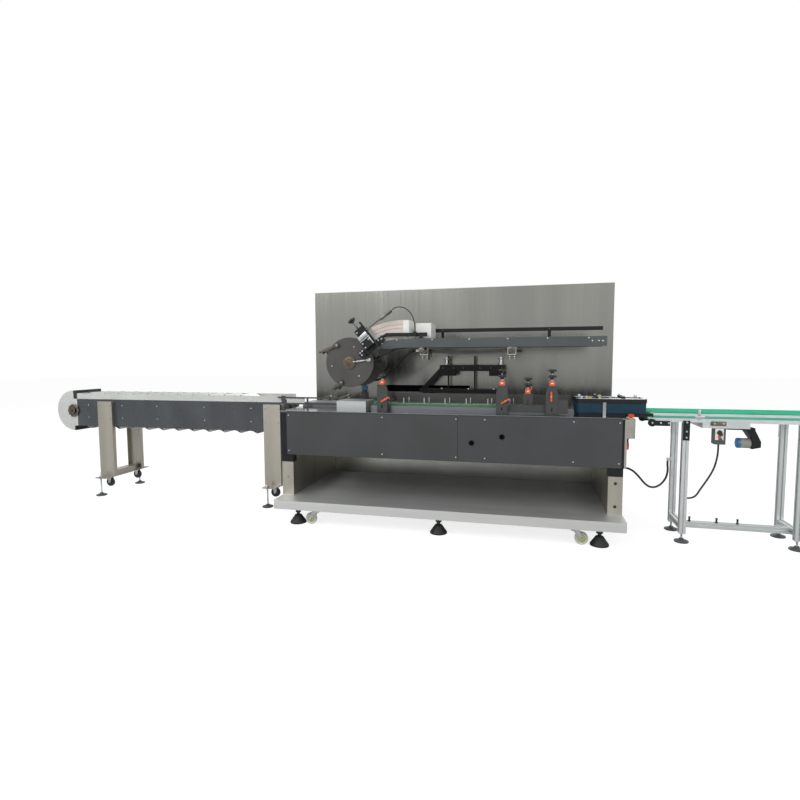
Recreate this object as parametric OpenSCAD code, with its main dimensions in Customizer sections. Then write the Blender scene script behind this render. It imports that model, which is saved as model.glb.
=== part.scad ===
// Automatic cartoner: a flat-blank carton magazine with a rotary suction feeder, a lug-chain carton
// conveyor on a wheeled base, a flighted infeed conveyor on the left and a belt take-off on the right.
// Millimetres, +Z up, +X along the line from infeed to take-off, the operator stands at -Y.
// Sub-parts are drawn about the middle of the front covers and then shifted to the shared origin.

/* [Base] */
// Length of the base tray along the line
base_w = 2440; // [2200:10:2600]
// How far the tray stands out in front of the covers
base_front = 162; // [120:1:260]
// Height of the tray's top sheet above the floor
base_top = 191; // [180:1:230]
// Depth of the tray's folded rim
base_rim = 65; // [50:1:70]
// Thickness of the tray's sheet
base_sheet = 6; // [3:0.5:10]
// Distance of the casters' swivel axes from the tray's ends
caster_end = 302; // [300:1:360]
// Distance of the front casters behind the tray's front edge
caster_inset = 89; // [80:1:120]
// Diameter of a caster wheel
wheel_d = 85; // [70:1:90]
// Width of a caster wheel
wheel_w = 30; // [24:1:36]
// Gap between the caster wheels and the floor while the machine stands on its feet
wheel_lift = 4; // [3:0.5:8]
// Diameter of a machine foot's pad
foot_d = 120; // [90:1:126]
// Distance of the outer machine feet from the tray's ends
foot_end = 148; // [130:1:150]

/* [Table and covers] */
// Length of the two front covers together
cover_len = 2380; // [2200:10:2500]
// Height of the front covers
cover_h = 330; // [280:1:360]
// Height of the covers' top edge above the floor
cover_top = 836; // [800:1:900]
// Thickness of the cover sheet
cover_t = 3; // [2:0.5:5]
// Place of the seam between the covers, from the middle
seam_x = 113; // [-200:1:300]
// Diameter of the access holes in the right cover
access_d = 34; // [20:1:50]
// Thickness of the table plate
table_t = 12; // [8:1:16]
// Depth of the carton conveyor's housing
housing_d = 327; // [315:1:360]
// Wall of the carton conveyor's housing
housing_wall = 5; // [3:0.5:8]

/* [Cabinet] */
// Length of the cabinet along the line
cab_w = 2570; // [2440:10:2700]
// Depth of the cabinet
cab_d = 410; // [300:10:600]
// Height of the cabinet's top above the floor
cab_top = 1831; // [1700:1:2000]
// Distance of the cabinet's front face behind the covers
cab_y = 896; // [860:1:1000]
// Height of the pusher slot in the cabinet's front
slot_h = 58; // [40:1:80]

/* [Carton conveyor] */
// Spacing of the lug pairs along the chains
lug_pitch = 155; // [120:1:200]
// Gap between the two lugs of a pair
lug_gap = 22; // [20:1:60]
// Height of a lug above its chain
lug_h = 50; // [30:1:70]
// Pitch radius of the chain's end wheels
chain_r = 78; // [70:1:90]
// Thickness of a chain
chain_t = 10; // [8:1:14]
// Width of a chain
chain_w = 14; // [10:1:18]
// Height of the chains' running face above the floor
chain_z = 890; // [880:1:920]
// Height of the rear guide plate's top edge
guide_z = 966; // [940:1:1000]

/* [Adjusters] */
// Width of an adjuster post at its foot
post_w = 78; // [60:1:90]
// Thickness of an adjuster post
post_t = 28; // [20:1:34]
// Height of the front adjuster posts above the table
post_h = 203; // [180:1:240]
// Diameter of an adjuster spindle
spindle_d = 12; // [8:1:16]
// Diameter of a star knob over its lobes
knob_d = 58; // [44:1:70]
// Running clearance of spindles, axles and swivel pins
run_gap = 0.05; // [0.02:0.01:0.1]

/* [Magazine] */
// Height of the magazine plates' top edge
mag_top = 1376; // [1340:1:1420]
// Height of the magazine plates
mag_h = 66; // [50:1:80]
// Thickness of a magazine plate
mag_t = 8; // [5:1:12]
// Width of the magazine between its plates
mag_gap = 232; // [210:1:240]
// Right end of the magazine, from the middle
mag_right = 1096; // [1000:1:1200]
// Lean of the magazine's delivery end
fan_angle = 24; // [18:1:26]
// Radius of the bend under the carton blanks
fan_r = 460; // [440:1:500]
// Height of a carton blank
blank_h = 138; // [100:1:160]
// Place where the magazine starts to bend down, from the middle
fan_x = -310; // [-330:1:-300]

/* [Feeder] */
// Diameter of the feeder drum's plates
drum_d = 376; // [340:1:380]
// Depth of the feeder drum over its plates
drum_depth = 280; // [270:1:300]
// Thickness of a drum plate
drum_plate = 18; // [12:1:22]
// Place of the drum's axis along the line, from the middle
drum_x = -725; // [-760:1:-720]
// Height of the drum's axis
drum_z = 1203; // [1195:1:1215]
// Pitch radius of the suction arms' shafts
arm_r = 163; // [155:1:168]
// Reach of a suction cup's lip from the drum's axis
arm_reach = 250; // [230:1:254]
// Diameter of the drum's shaft
drum_shaft_d = 50; // [40:1:60]

/* [Discharge] */
// Left end of the discharge belts, from the middle
dis_left = 905; // [890:1:940]
// Right end of the discharge belts, from the middle
dis_right = 1346; // [1300:1:1350]
// Clear width between the discharge belts
dis_gap = 110; // [80:1:118]
// Height of the discharge belts
dis_h = 66; // [50:1:80]

/* [Infeed conveyor] */
// Left end of the infeed side plates, from the middle
inf_left = -3509; // [-4200:1:-3000]
// Right end of the infeed side plates, from the middle
inf_right = -1420; // [-1500:1:-1400]
// Front face of the infeed side plates, behind the covers
inf_y = 357; // [350:1:380]
// Width of the infeed conveyor over its side plates
inf_w = 305; // [285:1:340]
// Height of the infeed side plates' top edge
inf_top = 870; // [840:1:900]
// Height of the infeed side plates
inf_h = 249; // [220:1:280]
// Radius of the white end guard
guard_r = 185; // [180:1:200]
// Spacing of the flights
flight_pitch = 155; // [120:1:200]
// Height of a flight above its belt
flight_h = 45; // [30:1:50]
// Width of a leg plate
inf_leg_w = 152; // [100:1:180]

/* [Take-off conveyor] */
// Left end of the take-off belt, from the middle
out_left = 1361; // [1355:1:1400]
// Length of the take-off conveyor
out_len = 1150; // [900:10:2000]
// Front face of the take-off conveyor, behind the covers
out_y = 120; // [112:1:140]
// Width of the take-off conveyor
out_w = 300; // [260:1:340]
// Height of the take-off belt's top
out_top = 872; // [860:1:900]
// Side of the square leg profile
profile = 40; // [30:5:45]

/* [Hidden] */
$fn = 48;
// Depth that a cutting shape runs past the face it opens
cut = 1;
// Gap at which a loose piece lies on its seat
seat = 0.3;

// Ends of the whole line, which set the shared origin under its middle
line_left = inf_left - 7 - guard_r;
line_right = out_left + out_len;
line_front = -base_front;
line_back = cab_y + cab_d;

// Base
base_x = -12;
base_left = base_x - base_w / 2;
base_right = base_x + base_w / 2;
base_bottom = base_top - base_rim;
base_round = 14;
beam_w = 90;
boss_d = 56;
boss_h = 22;
pin_d = 16;
pin_len = 16;
fork_x = [base_left + caster_end, base_right - caster_end, base_left + caster_end, base_right - caster_end];
fork_y = [line_front + caster_inset, line_front + caster_inset, line_back - caster_inset,
    line_back - caster_inset];
fork_turn = [180, 0, 180, 0];
trail = 38;
axle_d = 10;
axle_z = wheel_lift + wheel_d / 2;
crown_h = 8;
crown_gap = 0.5;
crown_top = base_bottom - boss_h - crown_gap;
cheek_t = 4;
cheek_gap = 4;
foot_in = 112;
foot_x = [base_left + foot_end, base_x, base_right - foot_end];
foot_y = [line_front + foot_in, line_back - foot_in];
foot_lip = 10;
foot_cone = 60;
foot_neck = 50;
foot_stem = 24;
foot_nut = 44;

// Table and housing
table_top_z = cover_top + 4;
table_under = table_top_z - table_t;
cover_bottom = cover_top - cover_h;
housing_left = base_left - 8;
housing_right = base_right - 2;
housing_y = cover_t;
housing_bottom = cover_bottom - 1;
end_plate_t = 14;
access = [[211, 641], [419, 690]];
drive_shaft_d = 28;
post_top = 447;
frame_post = [92, 60];
frame_sheet = 5;
frame_y = 10;
wall_t = 5;
cab_x = -35;
cab_panel = 3;
cab_panel_gap = 40;
cab_panel_edge = 60;
cab_slot_x = [-620, 100];
cab_slot_z = 938;
cab_slot_deep = 60;

// Carton conveyor
chain_x = [-470, 520];
chain_y = [150, 231];
chain_axis_z = chain_z - chain_r;
slot_y = [142, 253];
rail_y = [95, 255];
rail_w = 45;
rail_top = chain_z - 6;
rail_x = [-548, 890];
strip_w = 22;
strip_top = rail_top + 14;
end_shaft_d = 30;
lug_first = -454;
lug_t = 6;
lug_foot = 14;
guide_t = 6;
guide_left = -400;
side_guide_z = [856, 906];
side_guide_h = 12;
side_guide_end = -430;
side_guide_post = [-1180, -820, -460];
product_deck = [housing_left + 10, 540];
product_deck_h = 32;

// Adjusters: place along the line, place behind the covers, foot height, knobs
adj_x = [-445, 414, 588, 746];
adj_y = [35, 35, rail_y[0] + 2, 35];
adj_z = [table_top_z, table_top_z, rail_top, table_top_z];
adj_h = [post_h, post_h, post_h - 102, post_h];
counter_h = 32;
counter_w = 38;
counter_round = 6;
lever_len = 56;
lever_w = 12;
lever_t = 8;
lever_side = [23, 23, 0, -4];
lever_drop = [108, 108, 0, 73];
lever_turn = [30, 30, 0, 90];
carriage_x = [458, adj_x[3] - post_w / 2 + 1];
carriage_z = [858, 908];
stop_block = [66, 18, 92];
spindle_grip = 20;

// Pusher bridge
bridge_x = [-138, 402];
bridge_y = 740;
bridge_d = 60;
bridge_z = 1125;
bridge_h = 50;
beam_x = [-311, 339];
beam_z = 944;
beam_h = 28;
column_x = [-85, 367];
column_d = 24;
stand_w = 30;
column_h = 66;
stay_x = [-73, 150];
stay_y = bridge_y + bridge_d + 15;
stay_d = 14;
stay_top = 1250;
stop_w = [138, 128];
stop_drop = 40;

// Magazine
mag_y = 104;
mag_back = mag_y + mag_t + mag_gap;
belt_r = 15;
belt_t = 4;
belt_x = fan_x + 20;
belt_span = mag_right - 40 - belt_x;
fan_z = mag_top - fan_r;
mag_mid = mag_y + mag_t + mag_gap / 2;
mag_under = mag_top - mag_h;
gate_at = [-493, 1352];
gate_lean = 39;
gate_bar = 14;
gate_len = 196;
gate_knob = 236;
gate_wedge_t = 30;
gate_wedge = [[-484, 1270], [-465, 1241], [-380, 1285], [-380, 1300], [-470, 1305]];
sensor_at = [-546, 1462];
sensor_back = 16;
sensor_lift = 35;
sensor_len = 205;
rod_d = 44;
arm_x = [-165, 472];
clamp_w = 60;
clamp_d = 56;
clamp_h = 54;
stud_d = 10;
stud_side = 17;
stud_h = 31;
mag_bars = [-200, 300, 800];
rail_left = -117;
rail_right = mag_right + 3;
rail_low = mag_top + 52;
rail_h = 27;
rail_posts = [-60, 722];
hand_rail_x = [-430, -124];
hand_rail_z = mag_top + 15;
hand_rail_h = 27;
blank_d = 200;
blank_straight = 46;
follower_x = [-212, -100];
follower_d = 190;
follower_h = 111;

// Feeder
drum_y = 130;
drum_back = drum_y + drum_depth;
arm_turn = [127, 247, 7];
arm_dir = [201, 214, 40];
arm_shaft_d = 26;
arm_y = [185, 275];
cup_d = 30;
hub_d = 100;
finger_y = 120;
finger_w = 16;
finger_cup = 20;
boss_y = 110.5;
finger_boss = 36;
hub_h = 12;
link_t = 8;
link_w = 14;

// Discharge
dis_belt_t = 4;
dis_loop = 70;
dis_mid = 181;
dis_z = 864;
dis_base = table_top_z;
dis_rim = 4;
dis_plate = 26;
dis_recess = 5;
dis_mids = [dis_mid - dis_gap / 2 - dis_loop / 2, dis_mid + dis_gap / 2 + dis_loop / 2];
dis_bridge_x = [dis_left + 140, dis_right - 140];
dis_tab_x = 1083;

// Infeed
inf_back = inf_y + inf_w;
inf_sheet = 4;
inf_axis = [inf_left - 7, 762];
inf_belt_r = 122;
inf_belt_t = 5;
inf_leg_x = [-3146, -1483];
inf_leg_top = inf_top - 17;
leg_d = 36;
leg_sheet = 4;
leg_foot = 160;
foot_plate_t = 8;
foot_plate_w = 120;
foot_reach = 118;
cross_h = 45;
cross_w = 80;
stem_out = 89;
stem_side = -25;
stem_over = 46;
pad_d = 90;
stem_d = 14;
small_wheel_d = 80;
small_wheel_w = 22;
small_wheel_z = 111;
flight_len = 95;
trim_h = 52;
guard_sheet = 4;

// Take-off
out_right = out_left + out_len;
out_back = out_y + out_w;
out_belt_t = 4;
out_roll_r = 30;
out_leg_in = 219;
out_legs_x = [out_left + out_leg_in, out_right - out_leg_in - profile];
out_side_h = 58;
out_side_t = 11;
out_side_low = out_top - 6 - out_side_h;
out_stem = 60;
groove = 8;
groove_deep = 9;
stretch_z = 88;
stretch_in = 62;
gland_z = [498, 520];
nose_len = 110;
out_tray_x = [out_left + 334, out_left + 610];
out_tray_h = 36;
box_x = out_left + 407;
box_w = 64;
box_h = 105;
box_d = 66;
hanger_h = 33;
motor_x = out_left + 584;
motor_len = 62;
motor_d = 62;
motor_z = 668;
motor_y = out_y + 80;

// Cord routes, from end to end
hose_d = 18;
hose_route = [[-232, 230, 1288], [-262, 230, 1288], [-330, 262, 1240], [-400, 310, 1178], [-480, 375, 1116],
    [-550, 430, 1075], [-620, 455, 1057], [-672, 462, 1055], [-704, 462, 1047], [-712, 462, 1032],
    [-712, 462, 1012.3]];
link_d = 14;
link_route = [[1220.3, 60, 500], [1246, 62, 496], [1282, 74, 474], [1318, 96, 436], [1352, 128, 396],
    [1392, 172, 360], [1436, 224, 342], [1482, 282, 342], [1522, 332, 360], [1550, 368, 392],
    [1562, 390, 432], [1562, 400, 470], [1562, 400, 497.7]];
switch_d = 12;
switch_route = [[1800, 150, 666.7], [1800, 150, 640], [1799, 150, 604], [1794, 150, 565], [1785, 149, 524],
    [1770, 148, 482], [1749, 147, 440], [1724, 146, 396], [1700, 144, 356], [1686, 143, 331], [1672, 142, 314],
    [1654, 141, 304], [1636, 140, 300], [1620.3, 140, 300]];
cable_d = 7;
cable_route = [[-377, 67, 1580.5], [-355, 67, 1596], [-322, 70, 1602], [-285, 74, 1594], [-252, 80, 1570],
    [-228, 86, 1535], [-216, 92, 1495], [-212, 94, 1460], [-212, 94, 1425.3]];

// Shifts everything to the origin under the middle of the line
module at_origin() {
    translate([-(line_left + line_right) / 2, -(line_front + line_back) / 2, 0])
        children();
}

// A box from its low corner to its high corner
module block(low, high) {
    translate(low)
        cube(high - low);
}

// A round bar along Y from one depth to another
module bar_y(x, y0, y1, z, d) {
    translate([x, y0, z])
        rotate([-90, 0, 0])
            cylinder(d = d, h = y1 - y0);
}

// A plate profile in the XZ plane, given thickness along Y from a front face
module plate_y(y0, t) {
    translate([0, y0 + t, 0])
        rotate([90, 0, 0])
            linear_extrude(t)
                children();
}

// A flat outline round two equal circles whose centres lie a span apart along X
module stadium_2d(span, r) {
    circle(r);
    translate([span, 0])
        circle(r);
    translate([0, -r])
        square([span, 2 * r]);
}

// A flat loop round two equal wheels
module loop_2d(span, r, t) {
    difference() {
        stadium_2d(span, r);
        stadium_2d(span, r - t);
    }
}

// A rectangle with round corners, from its low corner to its high corner
module round_rect(low, high, r) {
    for (x = [low[0] + r, high[0] - r]) for (y = [low[1] + r, high[1] - r])
        translate([x, y])
            circle(r);
    translate([low[0] + r, low[1]])
        square([high[0] - low[0] - 2 * r, high[1] - low[1]]);
    translate([low[0], low[1] + r])
        square([high[0] - low[0], high[1] - low[1] - 2 * r]);
}

// Cross-section of a slotted aluminium profile, centred
module slotted_2d() {
    difference() {
        square(profile, center = true);
        for (k = [0:3])
            rotate(90 * k)
                translate([profile / 2 - groove_deep, -groove / 2])
                    square([groove_deep + cut, groove]);
    }
}

// A levelling foot from the floor up to a height: a pad, a ball neck and a threaded stem
module level_foot(h) {
    rotate_extrude()
        polygon([[0, 0], [pad_d / 2, 0], [pad_d / 2, 9], [stem_d, 20], [stem_d, 26], [stem_d / 2, 30],
            [stem_d / 2, h], [0, h]]);
}

// Unit vectors for sweeping a tube along a route
function unit(v) = v / norm(v);
function tangent(p, i) = unit(p[min(i + 1, len(p) - 1)] - p[max(i - 1, 0)]);
function side_of(t) = unit(cross(t, abs(t[2]) > 0.9 ? [0, 1, 0] : [0, 0, 1]));
function ring(p, i, d, sides) = [for (k = [0:sides - 1])
    let (t = tangent(p, i), s = side_of(t), u = cross(s, t), a = 360 * k / sides)
    p[i] + d / 2 * (cos(a) * s + sin(a) * u)];

// A round tube swept along a route of points
module tube(p, d, sides = 8) {
    n = len(p);
    points = [for (i = [0:n - 1]) each ring(p, i, d, sides)];
    walls = [for (i = [0:n - 2]) for (k = [0:sides - 1])
        let (a = i * sides + k, b = i * sides + (k + 1) % sides)
        each [[a, b, b + sides], [a, b + sides, a + sides]]];
    first = [for (k = [sides - 1:-1:0]) k];
    last = [for (k = [0:sides - 1]) (n - 1) * sides + k];
    polyhedron(points, concat([first], walls, [last]));
}

// Base

module base_tray() {
    color("gainsboro") at_origin()
        difference() {
            union() {
                difference() {
                    translate([0, 0, base_bottom])
                        linear_extrude(base_rim)
                            round_rect([base_left, line_front], [base_right, line_back], base_round);
                    block([base_left + base_sheet, line_front + base_sheet, base_bottom - cut],
                        [base_right - base_sheet, line_back - base_sheet, base_top - base_sheet]);
                }
                for (y = [fork_y[0], fork_y[2]])
                    block([base_left + 1, y - beam_w / 2, base_bottom],
                        [base_right - 1, y + beam_w / 2, base_top - 1]);
                for (i = [0:3])
                    translate([fork_x[i], fork_y[i], base_bottom - boss_h])
                        cylinder(d = boss_d, h = boss_h + 1);
            }
            for (i = [0:3])
                translate([fork_x[i], fork_y[i], base_bottom - boss_h - cut])
                    cylinder(d = pin_d + 2 * run_gap, h = pin_len + 2 + cut);
        }
}

module machine_feet() {
    color("dimgray") at_origin()
        for (x = foot_x) for (y = foot_y)
            translate([x, y, 0]) {
                rotate_extrude()
                    polygon([[0, 0], [foot_d / 2, 0], [foot_d / 2, foot_lip], [foot_neck / 2, foot_cone],
                        [foot_stem / 2, foot_cone], [foot_stem / 2, base_bottom], [0, base_bottom]]);
                translate([0, 0, foot_cone + 20])
                    cylinder(d = foot_nut, h = 16, $fn = 6);
            }
}

// One caster fork with its swivel pin and axle, at its place
module caster_fork(i) {
    half = wheel_w / 2 + cheek_gap;
    color("silver") at_origin()
        translate([fork_x[i], fork_y[i], 0])
            rotate(fork_turn[i]) {
                translate([0, 0, crown_top - crown_h])
                    cylinder(d = boss_d, h = crown_h);
                translate([0, 0, crown_top - 1])
                    cylinder(d = pin_d, h = pin_len + crown_gap + 1);
                for (side = [-1, 1])
                    translate([0, side * (half + cheek_t / 2) + cheek_t / 2, 0])
                        rotate([90, 0, 0])
                            linear_extrude(cheek_t)
                                union() {
                                    polygon([[-18, crown_top - 1], [24, crown_top - 1], [trail + 14, axle_z],
                                        [trail - 14, axle_z]]);
                                    translate([trail, axle_z])
                                        circle(14);
                                }
                bar_y(trail, -half - cheek_t - 3, half + cheek_t + 3, axle_z, axle_d);
            }
}

// One caster wheel with its bore
module caster_wheel(i) {
    rim = wheel_d / 2;
    color("ivory") at_origin()
        translate([fork_x[i], fork_y[i], 0])
            rotate(fork_turn[i])
                translate([trail, 0, axle_z])
                    rotate([90, 0, 0])
                        rotate_extrude()
                            polygon([[axle_d / 2 + run_gap, -wheel_w / 2 - 2], [axle_d / 2 + 8, -wheel_w / 2 - 2],
                                [axle_d / 2 + 10, -wheel_w / 2 + 4], [rim - 12, -wheel_w / 2 + 4],
                                [rim - 6, -wheel_w / 2], [rim, -wheel_w / 4], [rim, wheel_w / 4],
                                [rim - 6, wheel_w / 2], [rim - 12, wheel_w / 2 - 4],
                                [axle_d / 2 + 10, wheel_w / 2 - 4], [axle_d / 2 + 8, wheel_w / 2 + 2],
                                [axle_d / 2 + run_gap, wheel_w / 2 + 2]]);
}

module caster_fork_1() { caster_fork(0); }
module caster_fork_2() { caster_fork(1); }
module caster_fork_3() { caster_fork(2); }
module caster_fork_4() { caster_fork(3); }
module caster_wheel_1() { caster_wheel(0); }
module caster_wheel_2() { caster_wheel(1); }
module caster_wheel_3() { caster_wheel(2); }
module caster_wheel_4() { caster_wheel(3); }

// Frame, housing and table

module side_frames() {
    color("lightgray") at_origin() {
        for (x = [housing_left + 2, housing_right - 2 - frame_post[0]]) {
            inner = x < base_x ? x + frame_post[0] - wall_t : x;
            difference() {
                block([x, frame_y, base_top], [x + frame_post[0], frame_y + frame_post[1], post_top]);
                block([x + frame_sheet, frame_y + frame_sheet, base_top + frame_sheet],
                    [x + frame_post[0] - frame_sheet, frame_y + frame_post[1] + cut, post_top - frame_sheet]);
            }
            block([inner, frame_y + frame_post[1], base_top], [inner + wall_t, cab_y, housing_bottom]);
            block([x, cab_y - frame_post[1], base_top], [x + frame_post[0], cab_y, table_under]);
        }
        block([housing_right, housing_y, housing_bottom],
            [housing_right + end_plate_t, housing_y + housing_d, table_under]);
    }
}

module conveyor_housing() {
    inner = [housing_left + housing_wall, housing_y + housing_wall, housing_bottom + housing_wall];
    color("black") at_origin()
        difference() {
            union() {
                block([housing_left, housing_y, housing_bottom],
                    [housing_right, housing_y + housing_d, table_under]);
                for (x = [housing_left + 2, housing_right - 2 - frame_post[0]])
                    block([x, frame_y, post_top], [x + frame_post[0], frame_y + frame_post[1], housing_bottom + 1]);
            }
            block(inner, [housing_right - housing_wall, housing_y + housing_d - housing_wall, table_under + cut]);
            for (p = access)
                bar_y(p[0], housing_y - cut, housing_y + housing_wall + cut, p[1], access_d);
        }
}

module front_covers() {
    seam = 2;
    color("dimgray") at_origin()
        for (ends = [[-cover_len / 2, seam_x - seam / 2], [seam_x + seam / 2, cover_len / 2]])
            difference() {
                block([ends[0], 0, cover_bottom], [ends[1], cover_t, cover_top]);
                for (p = access)
                    bar_y(p[0], -cut, cover_t + cut, p[1], access_d);
            }
}

module table_top() {
    lip = 8;
    color("silver") at_origin()
        difference() {
            block([housing_left, -lip, table_under], [housing_right + end_plate_t, cab_y, table_top_z]);
            block([chain_x[0] - chain_r - 6, slot_y[0], table_under - cut],
                [chain_x[1] + chain_r + 6, slot_y[1], table_top_z + cut]);
            block([housing_left - cut, -lip - cut, table_under - cut],
                [housing_right + end_plate_t + cut, cover_t, cover_top + 0.5]);
        }
}

module cabinet() {
    panel_w = cab_w / 3 - cab_panel_gap;
    color("lightgray") at_origin()
        difference() {
            union() {
                block([cab_x - cab_w / 2, cab_y, base_top], [cab_x + cab_w / 2, line_back - cab_panel, cab_top]);
                for (i = [-1:1])
                    block([cab_x + i * cab_w / 3 - panel_w / 2, line_back - cab_panel - 1, base_top + cab_panel_edge],
                        [cab_x + i * cab_w / 3 + panel_w / 2, line_back, cab_top - cab_panel_edge]);
            }
            block([cab_slot_x[0], cab_y - cut, cab_slot_z],
                [cab_slot_x[1], cab_y + cab_slot_deep, cab_slot_z + slot_h]);
        }
}

// Carton conveyor

// One lug chain: a closed loop that carries one lug of each pair on its upper run
module lug_chain(y, side) {
    span = chain_x[1] - chain_x[0];
    pairs = floor((chain_x[1] - lug_first) / lug_pitch);
    plate_y(y, chain_w)
        translate([chain_x[0], chain_axis_z])
            loop_2d(span, chain_r, chain_t);
    for (k = [0:pairs])
        plate_y(y, chain_w)
            translate([lug_first + k * lug_pitch + side * lug_gap / 2, chain_z + seat])
                polygon([[-lug_foot / 2, 0], [lug_foot / 2, 0], [lug_t / 2, lug_foot / 2],
                    [lug_t / 2, lug_h - seat], [-lug_t / 2, lug_h - seat], [-lug_t / 2, lug_foot / 2]]);
}

module lug_chains() {
    color("silver") at_origin()
        for (i = [0, 1])
            lug_chain(chain_y[i], 2 * i - 1);
}

module chain_shafts() {
    wheel_r = chain_r - chain_t - 0.3;
    color("gray") at_origin() {
        for (x = chain_x) {
            bar_y(x, housing_y + housing_wall, housing_y + housing_d - housing_wall, chain_axis_z, end_shaft_d);
            for (y = chain_y)
                bar_y(x, y, y + chain_w, chain_axis_z, 2 * wheel_r);
        }
        bar_y(access[1][0], housing_y + housing_wall + 4, housing_y + housing_d - housing_wall, access[1][1],
            drive_shaft_d);
    }
}

module deck_rails() {
    color("gray") at_origin() {
        for (y = rail_y)
            block([rail_x[0], y, table_top_z], [rail_x[1], y + rail_w, rail_top]);
        block([product_deck[0], inf_y + 33, table_top_z],
            [product_deck[1], inf_back - 27, table_top_z + product_deck_h]);
    }
}

module wear_strips() {
    color("green") at_origin() {
        block([rail_x[0], chain_y[0] - strip_w, rail_top], [chain_x[1] + 60, chain_y[0], strip_top]);
        block([rail_x[0], chain_y[1] + chain_w, rail_top],
            [chain_x[1] + 60, chain_y[1] + chain_w + strip_w, strip_top]);
    }
}

module guide_plates() {
    back = rail_y[1] + rail_w;
    low = side_guide_z[0];
    high = side_guide_z[1] + side_guide_h;
    color("dimgray") at_origin() {
        block([guide_left, back, table_top_z + 5], [rail_x[1], back + guide_t, guide_z]);
        for (z = side_guide_z)
            block([inf_right - 20, inf_y - guide_t, z], [side_guide_end, inf_y, z + side_guide_h]);
        for (x = side_guide_post)
            block([x, inf_y - guide_t + 1, table_top_z], [x + 16, inf_y - 1, high - guide_t]);
        block([inf_right + 12, inf_y - guide_t + 1, low], [inf_right + 52, inf_y - 1, high + 8]);
    }
}

// Adjusters

// One post profile with sloping shoulders and a clamp slot
module adjuster_post(i) {
    top_w = 46;
    h = adj_h[i];
    plain = adj_y[i] > rail_y[0];
    w = plain ? post_w - 11 : post_w;
    translate([adj_x[i], 0, adj_z[i]])
        difference() {
            plate_y(adj_y[i], post_t)
                difference() {
                    polygon(plain ? [[-w / 2, 0], [w / 2, 0], [w / 2, h], [-w / 2, h]]
                        : [[-w / 2, 0], [w / 2, 0], [w / 2, h - 45], [top_w / 2, h], [-top_w / 2, h],
                            [-w / 2, h - 45]]);
                    translate([-5, 30])
                        square([10, 26]);
                }
            translate([0, adj_y[i] + post_t / 2, h - spindle_grip])
                cylinder(d = spindle_d + 2 * run_gap, h = spindle_grip + cut);
        }
}

module adjuster_posts() {
    end = adj_x[3] + post_w / 2 - 1;
    color("dimgray") at_origin() {
        for (i = [0:3])
            adjuster_post(i);
        block([carriage_x[0], adj_y[0] + post_t - 1, carriage_z[0]],
            [carriage_x[1], rail_y[0] - 1, carriage_z[1]]);
        block([end, adj_y[3] + 5, carriage_z[0] - 2],
            [end + stop_block[0], adj_y[3] + 5 + stop_block[1], carriage_z[0] - 2 + stop_block[2]]);
    }
}

module adjuster_fittings() {
    color("orangered") at_origin()
        for (i = [0:3])
            translate([adj_x[i], adj_y[i], adj_z[i] + adj_h[i]]) {
                difference() {
                    plate_y(-2, post_t + 4)
                        round_rect([-counter_w / 2, 0], [counter_w / 2, counter_h], counter_round);
                    translate([0, post_t / 2, -cut])
                        cylinder(d = spindle_d + 2 * run_gap, h = counter_h + 2 * cut);
                    block([-counter_w / 4, -2 - cut, counter_h / 2 - 4], [counter_w / 4, 0, counter_h / 2 + 6]);
                }
                if (lever_drop[i] > 0)
                    translate([lever_side[i], 0, -lever_drop[i]]) {
                        plate_y(-2 - lever_t, lever_t)
                            rotate(lever_turn[i])
                                translate([-lever_len / 2, 0])
                                    stadium_2d(lever_len, lever_w / 2);
                        bar_y(0, -3, 0, 0, lever_w + 6);
                    }
            }
}

// A star knob with five lobes
module star_2d() {
    lobe = 9;
    circle(d = knob_d - 2 * lobe);
    for (k = [0:4])
        rotate(72 * k)
            translate([knob_d / 2 - lobe, 0])
                circle(lobe);
}

// One spindle with its star knobs
module star_knob(i) {
    first = counter_h + 24;
    knobs = i == 0 ? [first] : [first, first + 40];
    color("black") at_origin()
        translate([adj_x[i], adj_y[i] + post_t / 2, adj_z[i] + adj_h[i]]) {
            translate([0, 0, 0.5 - spindle_grip])
                cylinder(d = spindle_d, h = knobs[len(knobs) - 1] + spindle_grip);
            for (z = knobs) {
                translate([0, 0, z])
                    linear_extrude(16)
                        star_2d();
                translate([0, 0, z - 12])
                    cylinder(d = 2 * spindle_d, h = 13);
            }
        }
}

module star_knob_1() { star_knob(0); }
module star_knob_2() { star_knob(1); }
module star_knob_3() { star_knob(2); }
module star_knob_4() { star_knob(3); }

// Pusher bridge and supports

module pusher_bridge() {
    top = bridge_z + bridge_h;
    color("dimgray") at_origin() {
        block([beam_x[0], bridge_y - 15, beam_z], [beam_x[1], cab_y, beam_z + beam_h]);
        for (x = [beam_x[0] + stand_w, beam_x[1] - 2 * stand_w])
            block([x, bridge_y - 10, table_top_z], [x + stand_w, bridge_y + 30, beam_z + 1]);
        block([bridge_x[0], bridge_y, bridge_z], [bridge_x[1], bridge_y + bridge_d, top]);
        for (i = [0, 1])
            let (x = i == 0 ? bridge_x[0] : bridge_x[1] - stop_w[1])
            block([x, bridge_y + 5, bridge_z - stop_drop], [x + stop_w[i], bridge_y + bridge_d - 5, bridge_z + 1]);
        for (x = stay_x)
            translate([x, stay_y, beam_z + beam_h - 1])
                cylinder(d = stay_d, h = stay_top - beam_z - beam_h + 1);
        plate_y(bridge_y + 10, 40)
            polygon([[beam_x[0], beam_z + beam_h - 8], [beam_x[0] + 44, beam_z + beam_h - 8],
                [bridge_x[0] + 44, bridge_z + 15], [bridge_x[0] + 8, top - 15]]);
    }
}

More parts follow.
